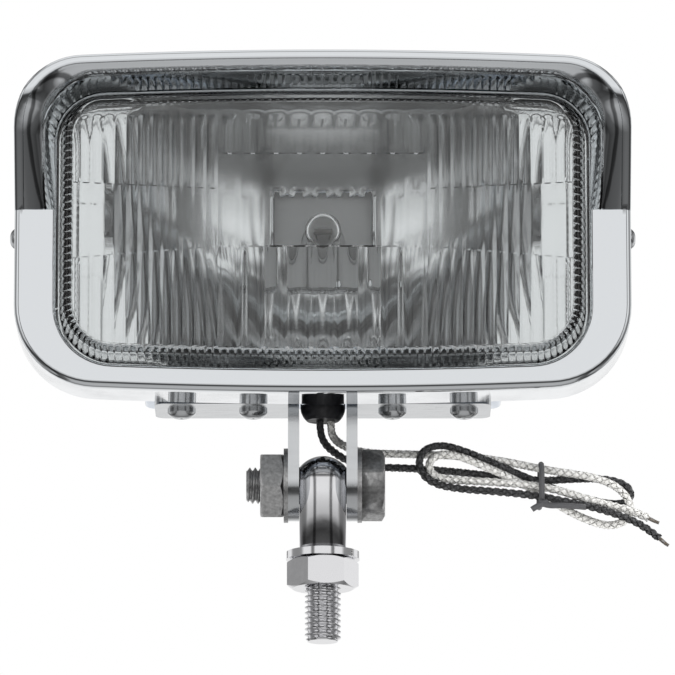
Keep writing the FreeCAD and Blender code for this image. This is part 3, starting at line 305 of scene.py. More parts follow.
def noise(material, grain_mm, detail=3.0, stretch=(1, 1, 1)):
    """Noise whose features are grain_mm wide on the piece."""
    tree = material.node_tree
    place_on = node(tree, "ShaderNodeTexCoord").outputs["Object"]
    sized = node(tree, "ShaderNodeMapping", {"Vector": place_on, "Scale": stretch})
    return node(tree, "ShaderNodeTexNoise", {"Vector": sized.outputs[0], "Scale": 1 / (grain_mm * MM),
                                             "Detail": detail}).outputs["Fac"]


def vary(material, socket, pattern, low, high):
    """Drive the shader's roughness or colour between two values by a pattern."""
    tree = material.node_tree
    shader = tree.nodes[material["shader"]]
    if socket == "Base Color":
        spread = ramp_stops(node(tree, "ShaderNodeValToRGB", {0: pattern}), [(0.32, low), (0.68, high)])
    else:
        spread = node(tree, "ShaderNodeMapRange", {"Value": pattern, "From Min": 0.3, "From Max": 0.7,
                                                   "To Min": low, "To Max": high})
    tree.links.new(spread.outputs[0], shader.inputs[socket])


def relief(material, pattern, depth_mm, strength=1.0):
    """Bump of a real depth."""
    tree = material.node_tree
    bump = node(tree, "ShaderNodeBump", {"Height": pattern, "Distance": depth_mm * MM, "Strength": strength})
    tree.links.new(bump.outputs[0], tree.nodes[material["shader"]].inputs["Normal"])


# %% Metals
# Decorative chromium over polished steel: a cool mirror, with faint drawing waves 14 mm wide.
chrome = finish("polished_chromium_plate", "e4e7ea", 1.0, 0.04)
vary(chrome, "Roughness", noise(chrome, 9.0), 0.025, 0.07)
relief(chrome, noise(chrome, 14.0, 0.0), 0.012, 0.5)

# Chromed housing, drawn deeper than the bezel: slightly softer and bluer.
housing_chrome = finish("drawn_chromium_plate", "d5dde8", 1.0, 0.12)
vary(housing_chrome, "Roughness", noise(housing_chrome, 6.0), 0.08, 0.18)
relief(housing_chrome, noise(housing_chrome, 10.0, 0.0), 0.02, 0.6)

# Bright nickel over a polished forging: a mirror that waves a little every 2.4 mm.
nickel = finish("bright_nickel_plate", "e6e6e8", 1.0, 0.08)
vary(nickel, "Roughness", noise(nickel, 2.0, 2.0), 0.05, 0.13)
relief(nickel, noise(nickel, 2.4, 1.0), 0.010, 0.5)

# Zinc plated nuts and bolts that were tumbled in the bath: grey, soft and a little pitted.
dull_zinc = finish("tumbled_zinc_plate", "c2c2c2", 1.0, 0.38)
vary(dull_zinc, "Base Color", noise(dull_zinc, 0.9, 4.0), "adadad", "d4d4d4")
vary(dull_zinc, "Roughness", noise(dull_zinc, 0.8), 0.30, 0.48)
relief(dull_zinc, noise(dull_zinc, 0.35, 4.0), 0.03, 0.5)

# Polished zinc plated brackets: bright, with rolling marks along the strip.
bright_zinc = finish("bright_zinc_plate", "cfd1d3", 1.0, 0.16)
vary(bright_zinc, "Roughness", noise(bright_zinc, 1.5, 3.0, (0.2, 1, 1)), 0.10, 0.24)
relief(bright_zinc, noise(bright_zinc, 0.9, 3.0, (0.15, 1, 1)), 0.010, 0.5)

# Aluminium vapour on lacquered steel: almost a mirror.
mirror = finish("vapour_aluminised_mirror", "e4e5e6", 1.0, 0.07)
vary(mirror, "Roughness", noise(mirror, 12.0), 0.05, 0.11)
relief(mirror, noise(mirror, 7.0, 1.0), 0.006, 0.4)

# Galvanised sheet of the inner fittings.
sheet_zinc = finish("galvanised_sheet", "c3c6c8", 1.0, 0.30)
vary(sheet_zinc, "Base Color", noise(sheet_zinc, 3.0), "b4b8bb", "d0d2d3")
relief(sheet_zinc, noise(sheet_zinc, 1.0), 0.01, 0.4)

# White ceramic cement and passivated white steel round the bulb, matt and pale.
pale_sheet = finish("white_passivated_steel", "f1f2f3", 0.0, 0.34)
vary(pale_sheet, "Roughness", noise(pale_sheet, 2.0), 0.26, 0.42)
relief(pale_sheet, noise(pale_sheet, 0.8), 0.01, 0.4)

# Drawn tungsten wire.
tungsten = finish("drawn_tungsten", "6a6864", 1.0, 0.42)
relief(tungsten, noise(tungsten, 0.2), 0.01, 0.5)

# Tinned copper strands.
tinned = finish("tinned_copper", "c9c7c4", 1.0, 0.28)
vary(tinned, "Base Color", noise(tinned, 0.6), "b7a793", "d2d2d2")

# %% Glass, rubber, braid and plastic
# Pressed soda-lime glass: fire-polished outside, moulded flutes inside.
glass = finish("pressed_soda_lime_glass", "fbfdfd", 0.0, 0.0, Transmission_Weight=1.0, IOR=1.50)
relief(glass, noise(glass, 6.0, 1.0), 0.003, 0.3)

# Fused quartz of the bulb, clear and thin.
quartz = finish("fused_quartz", "fdfdfd", 0.0, 0.0, Transmission_Weight=1.0, IOR=1.46)

# EPDM rubber: moulded, matt, with a trace of bloom.
rubber = finish("moulded_epdm_rubber", "1b1b1f", 0.0, 0.48)
vary(rubber, "Base Color", noise(rubber, 1.6), "141417", "2a2a2e")
vary(rubber, "Roughness", noise(rubber, 2.5), 0.34, 0.60)
relief(rubber, noise(rubber, 0.35), 0.03, 0.6)

# Varnished glass-fibre braid, dark with worn grey yarns.
black_braid = finish("varnished_black_braid", "2a2a2b", 0.0, 0.52, Sheen_Weight=0.25)
vary(black_braid, "Base Color", noise(black_braid, 0.55, 1.0), "1c1c1d", "565658")
relief(black_braid, noise(black_braid, 0.2), 0.03, 0.6)

# The same braid undyed.
white_braid = finish("natural_white_braid", "f1f0ed", 0.0, 0.60, Sheen_Weight=0.25)
vary(white_braid, "Base Color", noise(white_braid, 0.6, 1.0), "e4e3df", "f8f7f5")
relief(white_braid, noise(white_braid, 0.2), 0.03, 0.6)

# Soft PVC over the tie's steel wire.
tie_plastic = finish("soft_pvc", "58585a", 0.0, 0.42)
vary(tie_plastic, "Roughness", noise(tie_plastic, 1.0), 0.3, 0.5)
relief(tie_plastic, noise(tie_plastic, 0.3), 0.02, 0.5)

# Heat-resistant sleeve over the bulb's connector.
sleeve = finish("silicone_sleeve", "d9d4c7", 0.0, 0.55)
relief(sleeve, noise(sleeve, 0.4), 0.02, 0.5)

# Pale matt paper under the lamp.
paper = finish("matt_paper", "f6f6f5", 0.0, 0.9)
vary(paper, "Base Color", noise(paper, 60.0), "f3f3f2", "f9f9f8")
floor.data.materials.append(paper)
print(len(bpy.data.materials), "finishes")

# %% [markdown]
# ## The lamp's outline
# The bezel, the glass, the reflector and the housing all follow one rounded rectangle,
# whose long edges are bowed a little. Every ring of points has the same count,
# so rings can be joined in any order.

# %% Outline sizes
bezel_low, bezel_high = box_mm("bezel")
lens_low, lens_high = box_mm("lens")
house_low, house_high = box_mm("housing")
BOW = 1450.0
HALF = bezel_high[0]
SKIRT_Y = bezel_high[1]
VISOR_Y = bezel_low[1]
VISOR_REACH = 14.5
FLANGE_Y = VISOR_Y + VISOR_REACH
STEP_Z = bezel_low[2] + 50.1
SHOULDER_Z = bezel_high[2] - 19.0 * 0.6
COVE_Y = FLANGE_Y + 3.6
LIP_Y = COVE_Y + 0.8
BEZEL = (HALF, bezel_low[2], bezel_high[2], 22.5, 19.0)
OPENING = (72.3, bezel_low[2] + 6.4, bezel_high[2] - 7.0, 16.0, 13.0)
AXIS_Z = pivot + 71.0
print("bezel half width", round(HALF, 2), "step at", round(STEP_Z, 2))


def corner_of(half, edge, radius, way):
    """Centre of a corner's arc and how far the bowed edge leans there; way is +1 below and -1 above."""
    across = half - radius
    rise = BOW - math.sqrt((BOW - radius) ** 2 - across ** 2)
    return np.array([across, edge + way * rise]), math.asin(across / (BOW - radius))


def matched_ring(shape, inset=0.0, step=None, counts=(26, 14, 14, 14, 14, 26)):
    """Points (x, z) round the outline, the same count for any inset; the column at the step comes twice."""
    half, low, high, low_radius, high_radius = shape
    half, low, high = half - inset, low + inset, high - inset
    low_radius, high_radius = max(low_radius - inset, 1.0), max(high_radius - inset, 1.0)
    step = STEP_Z if step is None else step
    low_corner, low_lean = corner_of(half, low, low_radius, 1)
    top_corner, top_lean = corner_of(half, high, high_radius, -1)
    side = []
    reach = low_corner[0] + low_radius * math.sin(low_lean)
    for x in np.linspace(0, reach, counts[0], endpoint=False):
        side.append((x, low + BOW - math.sqrt(BOW ** 2 - x ** 2)))
    for turn in np.linspace(low_lean - math.pi / 2, 0, counts[1], endpoint=False):
        side.append((low_corner[0] + low_radius * math.cos(turn),
                     low_corner[1] + low_radius * math.sin(turn)))
    side += [(half, z) for z in np.linspace(low_corner[1], step, counts[2])]
    side += [(half, z) for z in np.linspace(step, top_corner[1], counts[3], endpoint=False)]
    for turn in np.linspace(0, math.pi / 2 - top_lean, counts[4], endpoint=False):
        side.append((top_corner[0] + high_radius * math.cos(turn),
                     top_corner[1] + high_radius * math.sin(turn)))
    reach = top_corner[0] + high_radius * math.sin(top_lean)
    for x in np.linspace(reach, 0, counts[5]):
        side.append((x, high - BOW + math.sqrt(BOW ** 2 - x ** 2)))
    side = np.array(side)
    other = side[-2:0:-1] * (-1, 1)
    upper = np.zeros(len(side), bool)
    upper[sum(counts[:3]):] = True
    return np.vstack([side, other]), np.concatenate([upper, upper[-2:0:-1]])


# %% [markdown]
# ## The bezel and its visor
# On the real lamp one sheet is drawn into a skirt, a flat flange and, above a step, a visor whose
# inside runs back as a cove to the glass. A loft of outline rings gives this directly:
# each ring has one profile below the step and another above it. Solidify then gives the sheet its thickness.

# %% Bezel
outer, upper = matched_ring(BEZEL)
EDGE = 1.6
LIP_EDGE = 0.8
LIP_WIDTH = 2.6
LENS_EDGE = 1.0
lift = np.clip((outer[:, 1] - STEP_Z) / (SHOULDER_Z - STEP_Z), 0, 1)
visor_front = FLANGE_Y - VISOR_REACH * lift


def bezel_row(below, above):
    """One ring: (shape, inset, y) below the step and above it."""
    ring = np.where(upper[:, None], matched_ring(*above[:2])[0], matched_ring(*below[:2])[0])
    y = np.where(upper, above[2], below[2])
    return np.column_stack([ring[:, 0], y, ring[:, 1]])


# The visor's inside first slopes steeply behind the lip, then runs back almost level to the glass.
COVE_PROFILE = [
    (0.0, 0.0), (0.10, 0.015), (0.30, 0.07), (0.50, 0.15), (0.66, 0.27), (0.79, 0.44), (0.89, 0.64),
    (0.96, 0.83), (1.0, 1.0)]
COVE_GAP = 0.3


def towards_opening(inwards, backwards):
    """A ring of the visor's inside, so far inwards and backwards on its way from the lip to the opening."""
    lip_ring = matched_ring(BEZEL, LIP_WIDTH)[0]
    cove_ring = matched_ring(OPENING, -COVE_GAP)[0]
    ring = lip_ring + (cove_ring - lip_ring) * inwards
    y = (visor_front + 0.35) + (COVE_Y - 0.3 - visor_front - 0.35) * backwards
    return np.column_stack([ring[:, 0], y, ring[:, 1]])


rows = [bezel_row((BEZEL, 0, SKIRT_Y), (BEZEL, 0, SKIRT_Y))]
rows.append(bezel_row((BEZEL, 0, FLANGE_Y + EDGE + 1.2), (BEZEL, 0, visor_front + LIP_EDGE + 1.2)))
for turn in np.linspace(0, math.pi / 2, 6):
    bend, drop = 1 - math.cos(turn), 1 - math.sin(turn)
    rows.append(bezel_row((BEZEL, EDGE * bend, FLANGE_Y + EDGE * drop),
                          (BEZEL, LIP_EDGE * bend, visor_front + LIP_EDGE * drop)))
rows.append(bezel_row((BEZEL, EDGE + 0.4, FLANGE_Y), (BEZEL, LIP_WIDTH - 0.45, visor_front)))
rows.append(bezel_row((BEZEL, EDGE + 0.8, FLANGE_Y), (BEZEL, LIP_WIDTH - 0.12, visor_front + 0.1)))
for share, (inwards, backwards) in zip(np.linspace(0, 1, 9), COVE_PROFILE):
    inside = towards_opening(inwards, backwards)
    flat = bezel_row((BEZEL, EDGE + 0.9, FLANGE_Y), (BEZEL, 0, 0))
    rim_ring = bezel_row((OPENING, -LENS_EDGE - 0.4, FLANGE_Y), (BEZEL, 0, 0))
    rows.append(np.where(upper[:, None], inside, flat + (rim_ring - flat) * share))
for turn in np.linspace(0, math.pi / 2, 5):
    bend, drop = 1 - math.sin(turn), 1 - math.cos(turn)
    rows.append(bezel_row((OPENING, -LENS_EDGE * bend, FLANGE_Y + LENS_EDGE * drop),
                          (OPENING, -COVE_GAP * bend, COVE_Y - 0.3 + 0.3 * drop)))
rows.append(bezel_row((OPENING, 0, LIP_Y), (OPENING, 0, LIP_Y)))
bezel = mesh_object("chromed_bezel", np.vstack(rows), ring_faces(len(rows), len(outer)), 40, outward=False)
thick = bezel.modifiers.new("sheet", "SOLIDIFY")
thick.thickness = 0.8 * MM
thick.offset = -1.0
thick.use_even_offset = False
bezel = applied(bezel)
place(bezel, "lamp", "chromed_steel", chrome, "bezel")

# %% [markdown]
# ## The pressed glass
# The real glass is pressed in a mould: smooth outside, with upright flutes inside that spread the light,
# and a collar of small ribs round its wall. A grid whose rows follow the bands of flutes keeps every edge
# crisp, and a dense ring carries the ribs. A strip of triangles joins the two, because they have
# different counts.

# %% Grid and ring helpers


def grid_edges(shape, x):
    """Lowest and highest z of the outline at x."""
    half, low, high, low_radius, high_radius = shape
    limits = []
    for edge, radius, way in ((low, low_radius, 1), (high, high_radius, -1)):
        corner, lean = corner_of(half, edge, radius, way)
        if abs(x) < corner[0] + radius * math.sin(lean):
            limits.append(edge + way * (BOW - math.sqrt(BOW ** 2 - x ** 2)))
        else:
            limits.append(corner[1] - way * math.sqrt(max(radius ** 2 - (abs(x) - corner[0]) ** 2, 0)))
    return limits


def shrunk(shape, inset):
    half, low, high, low_radius, high_radius = shape
    return half - inset, low + inset, high - inset, low_radius - inset, high_radius - inset


def grid_columns(shape, inner):
    """Column places: the inner ones, then closer and closer towards the rounded ends."""
    half, radius = shape[0], min(shape[3], shape[4])
    ends = [half - radius * (1 - math.cos(turn)) for turn in np.linspace(math.pi / 2, 0, 26)]
    start = half - radius
    body = [x for x in inner if abs(x) < start - 0.05]
    return np.array([-x for x in reversed(ends)] + body + ends)


def region_grid(shape, columns, bounds, counts):
    """Rows of points (x, z) that fill the outline; bounds are the band limits as functions of x."""
    grid = []
    for x in columns:
        low, high = grid_edges(shape, min(abs(x), shape[0]))
        cuts = [low] + [min(max(bound(x), low), high) for bound in bounds] + [high]
        line = []
        for start, stop, count in zip(cuts, cuts[1:], counts):
            line += list(np.linspace(start, stop, count, endpoint=False))
        grid.append([(x, z) for z in line + [high]])
    return np.array(grid).transpose(1, 0, 2)


def grid_faces(rows, columns, first=0):
    faces = []
    for row in range(rows - 1):
        for column in range(columns - 1):
            a = first + row * columns + column
            faces.append((a, a + 1, a + 1 + columns, a + columns))
    return faces


def grid_border(rows, columns, first=0):
    """The grid's outer points in order, from the middle of the lower edge anticlockwise."""
    lower = [first + c for c in range(columns)]
    right = [first + r * columns + columns - 1 for r in range(1, rows)]
    top = [first + (rows - 1) * columns + c for c in range(columns - 2, -1, -1)]
    left = [first + r * columns for r in range(rows - 2, 0, -1)]
    loop = lower + right + top + left
    return loop[columns // 2:] + loop[:columns // 2]


def even_loop(shape, count):
    """Evenly spaced points round the outline from the middle of its lower edge, and their outward normals."""
    ring, _ = matched_ring(shape, 0.0, (shape[1] + shape[2]) / 2, (60, 40, 30, 30, 40, 60))
    ring = ring[np.append(True, np.linalg.norm(np.diff(ring, axis=0), axis=1) > 1e-6)]
    closed = np.vstack([ring, ring[:1]])
    along = np.concatenate([[0], np.cumsum(np.linalg.norm(np.diff(closed, axis=0), axis=1))])
    stations = np.linspace(0, along[-1], count, endpoint=False)
    even = np.column_stack([np.interp(stations, along, closed[:, k]) for k in (0, 1)])
    run = np.roll(even, -2, axis=0) - np.roll(even, 2, axis=0)
    run /= np.linalg.norm(run, axis=1)[:, None]
    return even, np.column_stack([run[:, 1], -run[:, 0]]), along[-1]


def stitch(points, first, second):
    """Triangles between two closed loops of different counts that start at the same place."""
    def shares(loop):
        line = np.array([points[i] for i in loop + loop[:1]])
        lengths = np.concatenate([[0], np.cumsum(np.linalg.norm(np.diff(line, axis=0), axis=1))])
        return lengths / lengths[-1]

    first_share, second_share = shares(first), shares(second)
    faces, i, j = [], 0, 0
    while i < len(first) or j < len(second):
        a, b = first[i % len(first)], second[j % len(second)]
        if j >= len(second) or (i < len(first) and first_share[i + 1] <= second_share[j + 1]):
            i += 1
            faces.append((a, first[i % len(first)], b))
        else:
            j += 1
            faces.append((a, second[j % len(second)], b))
    return faces


# %% Glass sizes
GLASS_FRONT = lens_low[1]
GLASS_BACK = lens_high[1]
WALL = 3.0
DRAFT = 1.4
SIDE_WALL = 2.0
WALL_TOP = shrunk(OPENING, 0.9)
CENTRE_HALF = 28.35
WIDE_PITCH = CENTRE_HALF * 2 / 9
FINE_PITCH = 3.1
WINDOW_HALF = 15.5
RIB_PITCH = 2.05


def over(x, near, far):
    """A height that goes from near, at the middle flutes' edge, to far at the lamp's sides."""
    return near + (far - near) * min(max((abs(x) - CENTRE_HALF) / 42, 0), 1)


def middle_or(x, inner, outer_value):
    return inner if abs(x) < CENTRE_HALF else outer_value


EDGE_BAND = 0.35
BANDS = [
    lambda x: 60.0,
    lambda x: over(x, 87.6, 84.2),
    lambda x: over(x, 87.6, 84.2) + EDGE_BAND,
    lambda x: middle_or(x, 103.0, over(x, 103.6, 105.6)),
    lambda x: middle_or(x, 103.0, over(x, 103.6, 105.6)) + EDGE_BAND,
    lambda x: middle_or(x, 113.4, 111.5),
    lambda x: middle_or(x, 113.4, 111.5) + EDGE_BAND,
    lambda x: 123.2,
]
BAND_ROWS = (5, 9, 1, 7, 1, 4, 1, 4, 5)


def flute_depth(x, z):
    """How deep the flutes are, in millimetres, in the band at this place."""
    share = min(max((z - 57.5) / 2.5, 0), 1) * min(max((124.6 - z) / 1.4, 0), 1)
    if abs(x) < CENTRE_HALF:
        low = over(x, 87.6, 84.2) + EDGE_BAND / 2
        if z < low:
            depth = 0.85
        elif z < 103.0 + EDGE_BAND / 2:
            depth = 0.0 if abs(x) < WINDOW_HALF else 0.42
        elif z < 113.4 + EDGE_BAND / 2:
            depth = 0.22
        else:
            depth = 0.70
        return depth * share
    low = over(x, 87.6, 84.2) + EDGE_BAND / 2
    high = over(x, 103.6, 105.6) + EDGE_BAND / 2
    depth = 0.16 if low < z < high else 0.46
    return depth * share * min(max((OPENING[0] - 3.2 - abs(x)) / 1.0, 0), 1)


def flute(x):
    """Cross-section of the flutes: 1 at a crest and 0 in a groove."""
    if abs(x) < CENTRE_HALF:
        share = (x + CENTRE_HALF) / WIDE_PITCH % 1
    else:
        share = (abs(x) - CENTRE_HALF) / FINE_PITCH % 1
    return 1 - (2 * share - 1) ** 2


# %% Glass
INNER_FACE = GLASS_FRONT + WALL
inner_shape = shrunk(WALL_TOP, DRAFT + SIDE_WALL + 0.6)
wide = [-CENTRE_HALF + WIDE_PITCH * (i + step) for i in range(9) for step in np.arange(0.02, 1.0, 0.12)]
fine = [CENTRE_HALF + FINE_PITCH * (i + step) for i in range(14) for step in np.arange(0.02, 1.0, 0.16)]
columns = grid_columns(inner_shape, [-x for x in reversed(fine)] + wide + fine)
inner_grid = region_grid(inner_shape, columns, BANDS, BAND_ROWS)
inner_points = [(x, INNER_FACE + 0.5 * (1 - (x / 72) ** 2) * -1 + flute(x) * flute_depth(x, z), z)
                for line in inner_grid for x, z in line]
glass_points = list(inner_points)
glass_faces = grid_faces(len(inner_grid), len(columns))
inner_border = grid_border(len(inner_grid), len(columns))

RIB_SAMPLES = 6
loop, outward_way, around = even_loop(OPENING, 12)
RIBS = round(around / RIB_PITCH)
loop, outward_way, around = even_loop(OPENING, RIBS * RIB_SAMPLES)
rib = np.abs(np.cos(np.pi * np.arange(len(loop)) / RIB_SAMPLES))


def glass_ring(growth, y, ribbing=0.0):
    """A dense ring at a distance from the opening; ribbing moves it outwards in each groove."""
    ring = loop + outward_way * (growth + ribbing * (1 - rib))[:, None]
    return np.column_stack([ring[:, 0], np.full(len(ring), y), ring[:, 1]])


TAPER = -0.9 - DRAFT
rings = [
    glass_ring(TAPER - SIDE_WALL - 0.3, INNER_FACE + 0.15, 0.08),
    glass_ring(TAPER - SIDE_WALL + 0.2, INNER_FACE + 1.0, 0.16),
    glass_ring(-0.9 - SIDE_WALL - 0.3, GLASS_BACK - 3.2, 0.16),
    glass_ring(-0.9 - SIDE_WALL, GLASS_BACK, 0.08),
    glass_ring(3.0, GLASS_BACK),
    glass_ring(3.2, GLASS_BACK - 0.3),
    glass_ring(3.2, GLASS_BACK - WALL + 0.3),
    glass_ring(3.0, GLASS_BACK - WALL),
    glass_ring(-0.6, GLASS_BACK - WALL),
    glass_ring(-0.95, GLASS_BACK - WALL - 0.5),
]
for turn in np.linspace(0, math.pi / 2, 7):
    bend, drop = 1 - math.cos(turn), 1 - math.sin(turn)
    rings.append(glass_ring(TAPER + 0.3 - 2.3 * bend, GLASS_FRONT + 0.3 + 2.3 * drop))
ring_start = len(glass_points)
glass_points += list(np.vstack(rings))
glass_faces += ring_faces(len(rings), len(loop), ring_start)
glass_faces += stitch(glass_points, inner_border, list(range(ring_start, ring_start + len(loop))))

front_shape = shrunk(WALL_TOP, DRAFT + 2.2 + 1.3)
front_columns = grid_columns(front_shape, list(np.linspace(-60, 60, 61)))
front_grid = region_grid(front_shape, front_columns, [], [36])
front_start = len(glass_points)
glass_points += [(x, GLASS_FRONT + 0.3 * (x / 72) ** 2 + 0.02, z) for line in front_grid for x, z in line]
glass_faces += grid_faces(len(front_grid), len(front_columns), front_start)
last_ring = list(range(len(glass_points) - len(front_grid) * len(front_columns) - len(loop), front_start))
glass_faces += stitch(glass_points, grid_border(len(front_grid), len(front_columns), front_start), last_ring)
lens = mesh_object("fluted_glass", glass_points, glass_faces, 25)
place(lens, "lamp", "pressed_glass", glass, "lens")

# %% [markdown]
# ## The reflector
# Sheet steel pressed to a parabola about the bulb's axis, cut by the lamp's walls, then aluminised.
# The surface has a formula, so a grid follows it, with a square neck left open for the bulb.

# %% Reflector
reflector_low, _ = box_mm("reflector")
VERTEX_Y = 13.0
FOCAL = 27.0
NECK_HALF = 13.5
RIM_Y = reflector_low[1] + 0.4
cup = shrunk(OPENING, 1.0)
cup_inner = [x for x in np.linspace(-66, 66, 89) if abs(abs(x) - NECK_HALF) > 0.7] + [-NECK_HALF, NECK_HALF]
cup_columns = grid_columns(cup, sorted(cup_inner))
neck_rows = [lambda x: AXIS_Z - NECK_HALF, lambda x: AXIS_Z + NECK_HALF]
cup_grid = region_grid(cup, cup_columns, neck_rows, [14, 18, 14])
cup_points = []
for line in cup_grid:
    for x, z in line:
        depth = VERTEX_Y - (x ** 2 + (z - AXIS_Z) ** 2) / (4 * FOCAL)
        cup_points.append((x, max(depth, RIM_Y), z))


def outside_neck(face):
    centre = np.mean([cup_points[i] for i in face], axis=0)
    return abs(centre[0]) > NECK_HALF or abs(centre[2] - AXIS_Z) > NECK_HALF


cup_faces = [f for f in grid_faces(len(cup_grid), len(cup_columns)) if outside_neck(f)]
border = grid_border(len(cup_grid), len(cup_columns))
for growth in (0.0, 6.5):
    start = len(cup_points)
    for index in border:
        x, _, z = cup_points[index] if growth == 0 else cup_points[previous[border.index(index)]]
        outward_x = growth * (1 if x > 0 else -1) if abs(x) > 55 else 0
        outward_z = growth * 0.62 * (1 if z > AXIS_Z else -1) if abs(z - AXIS_Z) > 24 else 0
        cup_points.append((x + outward_x, RIM_Y, z + outward_z))
    current = list(range(start, len(cup_points)))
    before = border if growth == 0 else previous
    for a in range(len(border)):
        b = (a + 1) % len(border)
        cup_faces.append((before[a], before[b], current[b], current[a]))
    previous = current
reflector = mesh_object("mirror_reflector", cup_points, cup_faces, 40, outward=False)
skin = reflector.modifiers.new("sheet", "SOLIDIFY")
skin.thickness = 0.7 * MM
skin.offset = 1.0
reflector = applied(reflector)
place(reflector, "lamp", "aluminised_mirror", mirror, "reflector")

# %% [markdown]
# ## The housing
# A bowl drawn from one sheet: it starts inside the bezel's skirt, narrows, and turns into a flat rear.
# Rings of the outline, drawn in by a smooth rule, make it without the ripples that a free loft has.

# %% Housing
HOUSE_FRONT = house_low[1]
HOUSE_REAR = house_high[1]
REAR_ROUND = 36.5


def house_inset(part):
    return 3.4 + 9.0 * part + 22.0 * part ** 4


DEPTH = HOUSE_REAR - SKIRT_Y
last_part = 0.80
slope = (9.0 + 88.0 * last_part ** 3) / DEPTH
start_y, start_inset = SKIRT_Y + DEPTH * last_part, house_inset(last_part)
knee = (HOUSE_REAR, start_inset + slope * (HOUSE_REAR - start_y))
profile = [(y, house_inset(max((y - SKIRT_Y) / DEPTH, 0))) for y in np.linspace(HOUSE_FRONT, start_y, 16)]
for t in np.linspace(0, 1, 13)[1:]:
    y = (1 - t) ** 2 * start_y + 2 * t * (1 - t) * knee[0] + t ** 2 * HOUSE_REAR
    inset = (1 - t) ** 2 * start_inset + 2 * t * (1 - t) * knee[1] + t ** 2 * REAR_ROUND
    profile.append((y, inset))
profile += [(HOUSE_REAR, REAR_ROUND + 0.8), (HOUSE_REAR, REAR_ROUND + 3.0)]
middle_z = (bezel_low[2] + bezel_high[2]) / 2
house_rows = []
for y, inset in profile:
    part = min(max((y - SKIRT_Y) / DEPTH, 0), 1)
    half_height = (bezel_high[2] - bezel_low[2]) / 2 - inset
    radius = min(19.1 * (1 - part) + 17.0 * part, half_height - 0.6)
    shape = (HALF - inset, bezel_low[2] + inset, bezel_high[2] - inset, radius, radius)
    ring, _ = matched_ring(shape, 0.0, middle_z, (50, 16, 6, 6, 16, 50))
    house_rows.append(np.column_stack([ring[:, 0], np.full(len(ring), y), ring[:, 1]]))
shell_points = np.vstack(house_rows)
shell_faces = ring_faces(len(house_rows), len(ring))
shell_faces.append(tuple(range(len(shell_points) - len(ring), len(shell_points))))
housing_shell = mesh_object("housing_shell", shell_points, shell_faces, 40, outward=False)
skin = housing_shell.modifiers.new("sheet", "SOLIDIFY")
skin.thickness = 0.9 * MM
skin.offset = -1.0
housing_shell = applied(housing_shell)
PAD_HALF = 48.8
PAD_FRONT, PAD_REAR = -10.7, 11.7
pad_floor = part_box("bracket_left")[1].z / MM
PAD_CORNER = 3.0
pad_ring = []
pad_corners = ((PAD_HALF, PAD_REAR, 0), (-PAD_HALF, PAD_REAR, 90),
               (-PAD_HALF, PAD_FRONT, 180), (PAD_HALF, PAD_FRONT, 270))
for centre_x, centre_y, first_turn in pad_corners:
    for turn in np.radians(np.linspace(first_turn, first_turn + 90, 7)):
        pad_ring.append((centre_x - math.copysign(PAD_CORNER, centre_x) + PAD_CORNER * math.cos(turn),
                         centre_y - math.copysign(PAD_CORNER, centre_y) + PAD_CORNER * math.sin(turn)))
pad_ring = np.array(pad_ring)
pad_rows = []
for turn in np.linspace(0, math.pi / 2, 5):
    inward = 1.1 * (1 - math.sin(turn))
    pad_rows.append(np.column_stack([pad_ring[:, 0] - np.sign(pad_ring[:, 0]) * inward,
                                     pad_ring[:, 1] - np.sign(pad_ring[:, 1]) * inward,
                                     np.full(len(pad_ring), pad_floor + 1.1 * (1 - math.cos(turn)))]))
pad_rows.append(np.column_stack([pad_ring, np.full(len(pad_ring), pad_floor + 6.0)]))
pad_points = np.vstack(pad_rows)
pad_faces = ring_faces(len(pad_rows), len(pad_ring))
pad_faces += [tuple(range(len(pad_ring))), tuple(range(len(pad_points) - len(pad_ring), len(pad_points)))]
pad = mesh_object("housing_platform", pad_points, pad_faces, 40)
BRIDGE_HALF, BRIDGE_DROP, BRIDGE_EDGE = 6.2, 2.6, 0.5
bridge_front = -10.25
bridge_rows = []
for y, inset in ((bridge_front + 2.8, 0.0), (bridge_front + BRIDGE_EDGE, 0.0), (bridge_front + 0.15, 0.15),
                 (bridge_front, BRIDGE_EDGE)):
    side = BRIDGE_HALF - inset
    low_z = pad_floor - BRIDGE_DROP + inset
    bridge_rows.append([(-side, y, low_z + 0.4), (-side + 0.4, y, low_z), (side - 0.4, y, low_z),
                        (side, y, low_z + 0.4), (side, y, pad_floor + 1.5), (-side, y, pad_floor + 1.5)])
bridge_faces = ring_faces(4, 6) + [tuple(range(6)), tuple(range(18, 24))]
bridge = mesh_object("housing_bridge", np.vstack(bridge_rows), bridge_faces, 40)
housing = joined("drawn_housing", [housing_shell, pad, bridge])
housing.data.shade_smooth()
housing.data.set_sharp_from_angle(angle=math.radians(40))
place(housing, "lamp", "chromed_steel", housing_chrome, "housing")

# %% [markdown]
# ## Threads
# A rolled M10 thread is a ridge that climbs 1.5 mm a turn. As a height field round the rod it is one closed
# mesh: the radius at each place follows from the turn and the height, and a chamfer cuts it at the end.

# %% Threads
PITCH = 1.5
CREST, ROOT = 4.95, 4.08
TURN_STEPS = 48
ROW_STEP = PITCH / 12


def thread_radius(turns):
    """Radius across one pitch: flat root, 60 degree flanks and a narrow crest."""
    share = np.abs((turns % 1) * 2 - 1)
    return ROOT + (CREST - ROOT) * np.clip((share - 0.14) / 0.72, 0, 1)


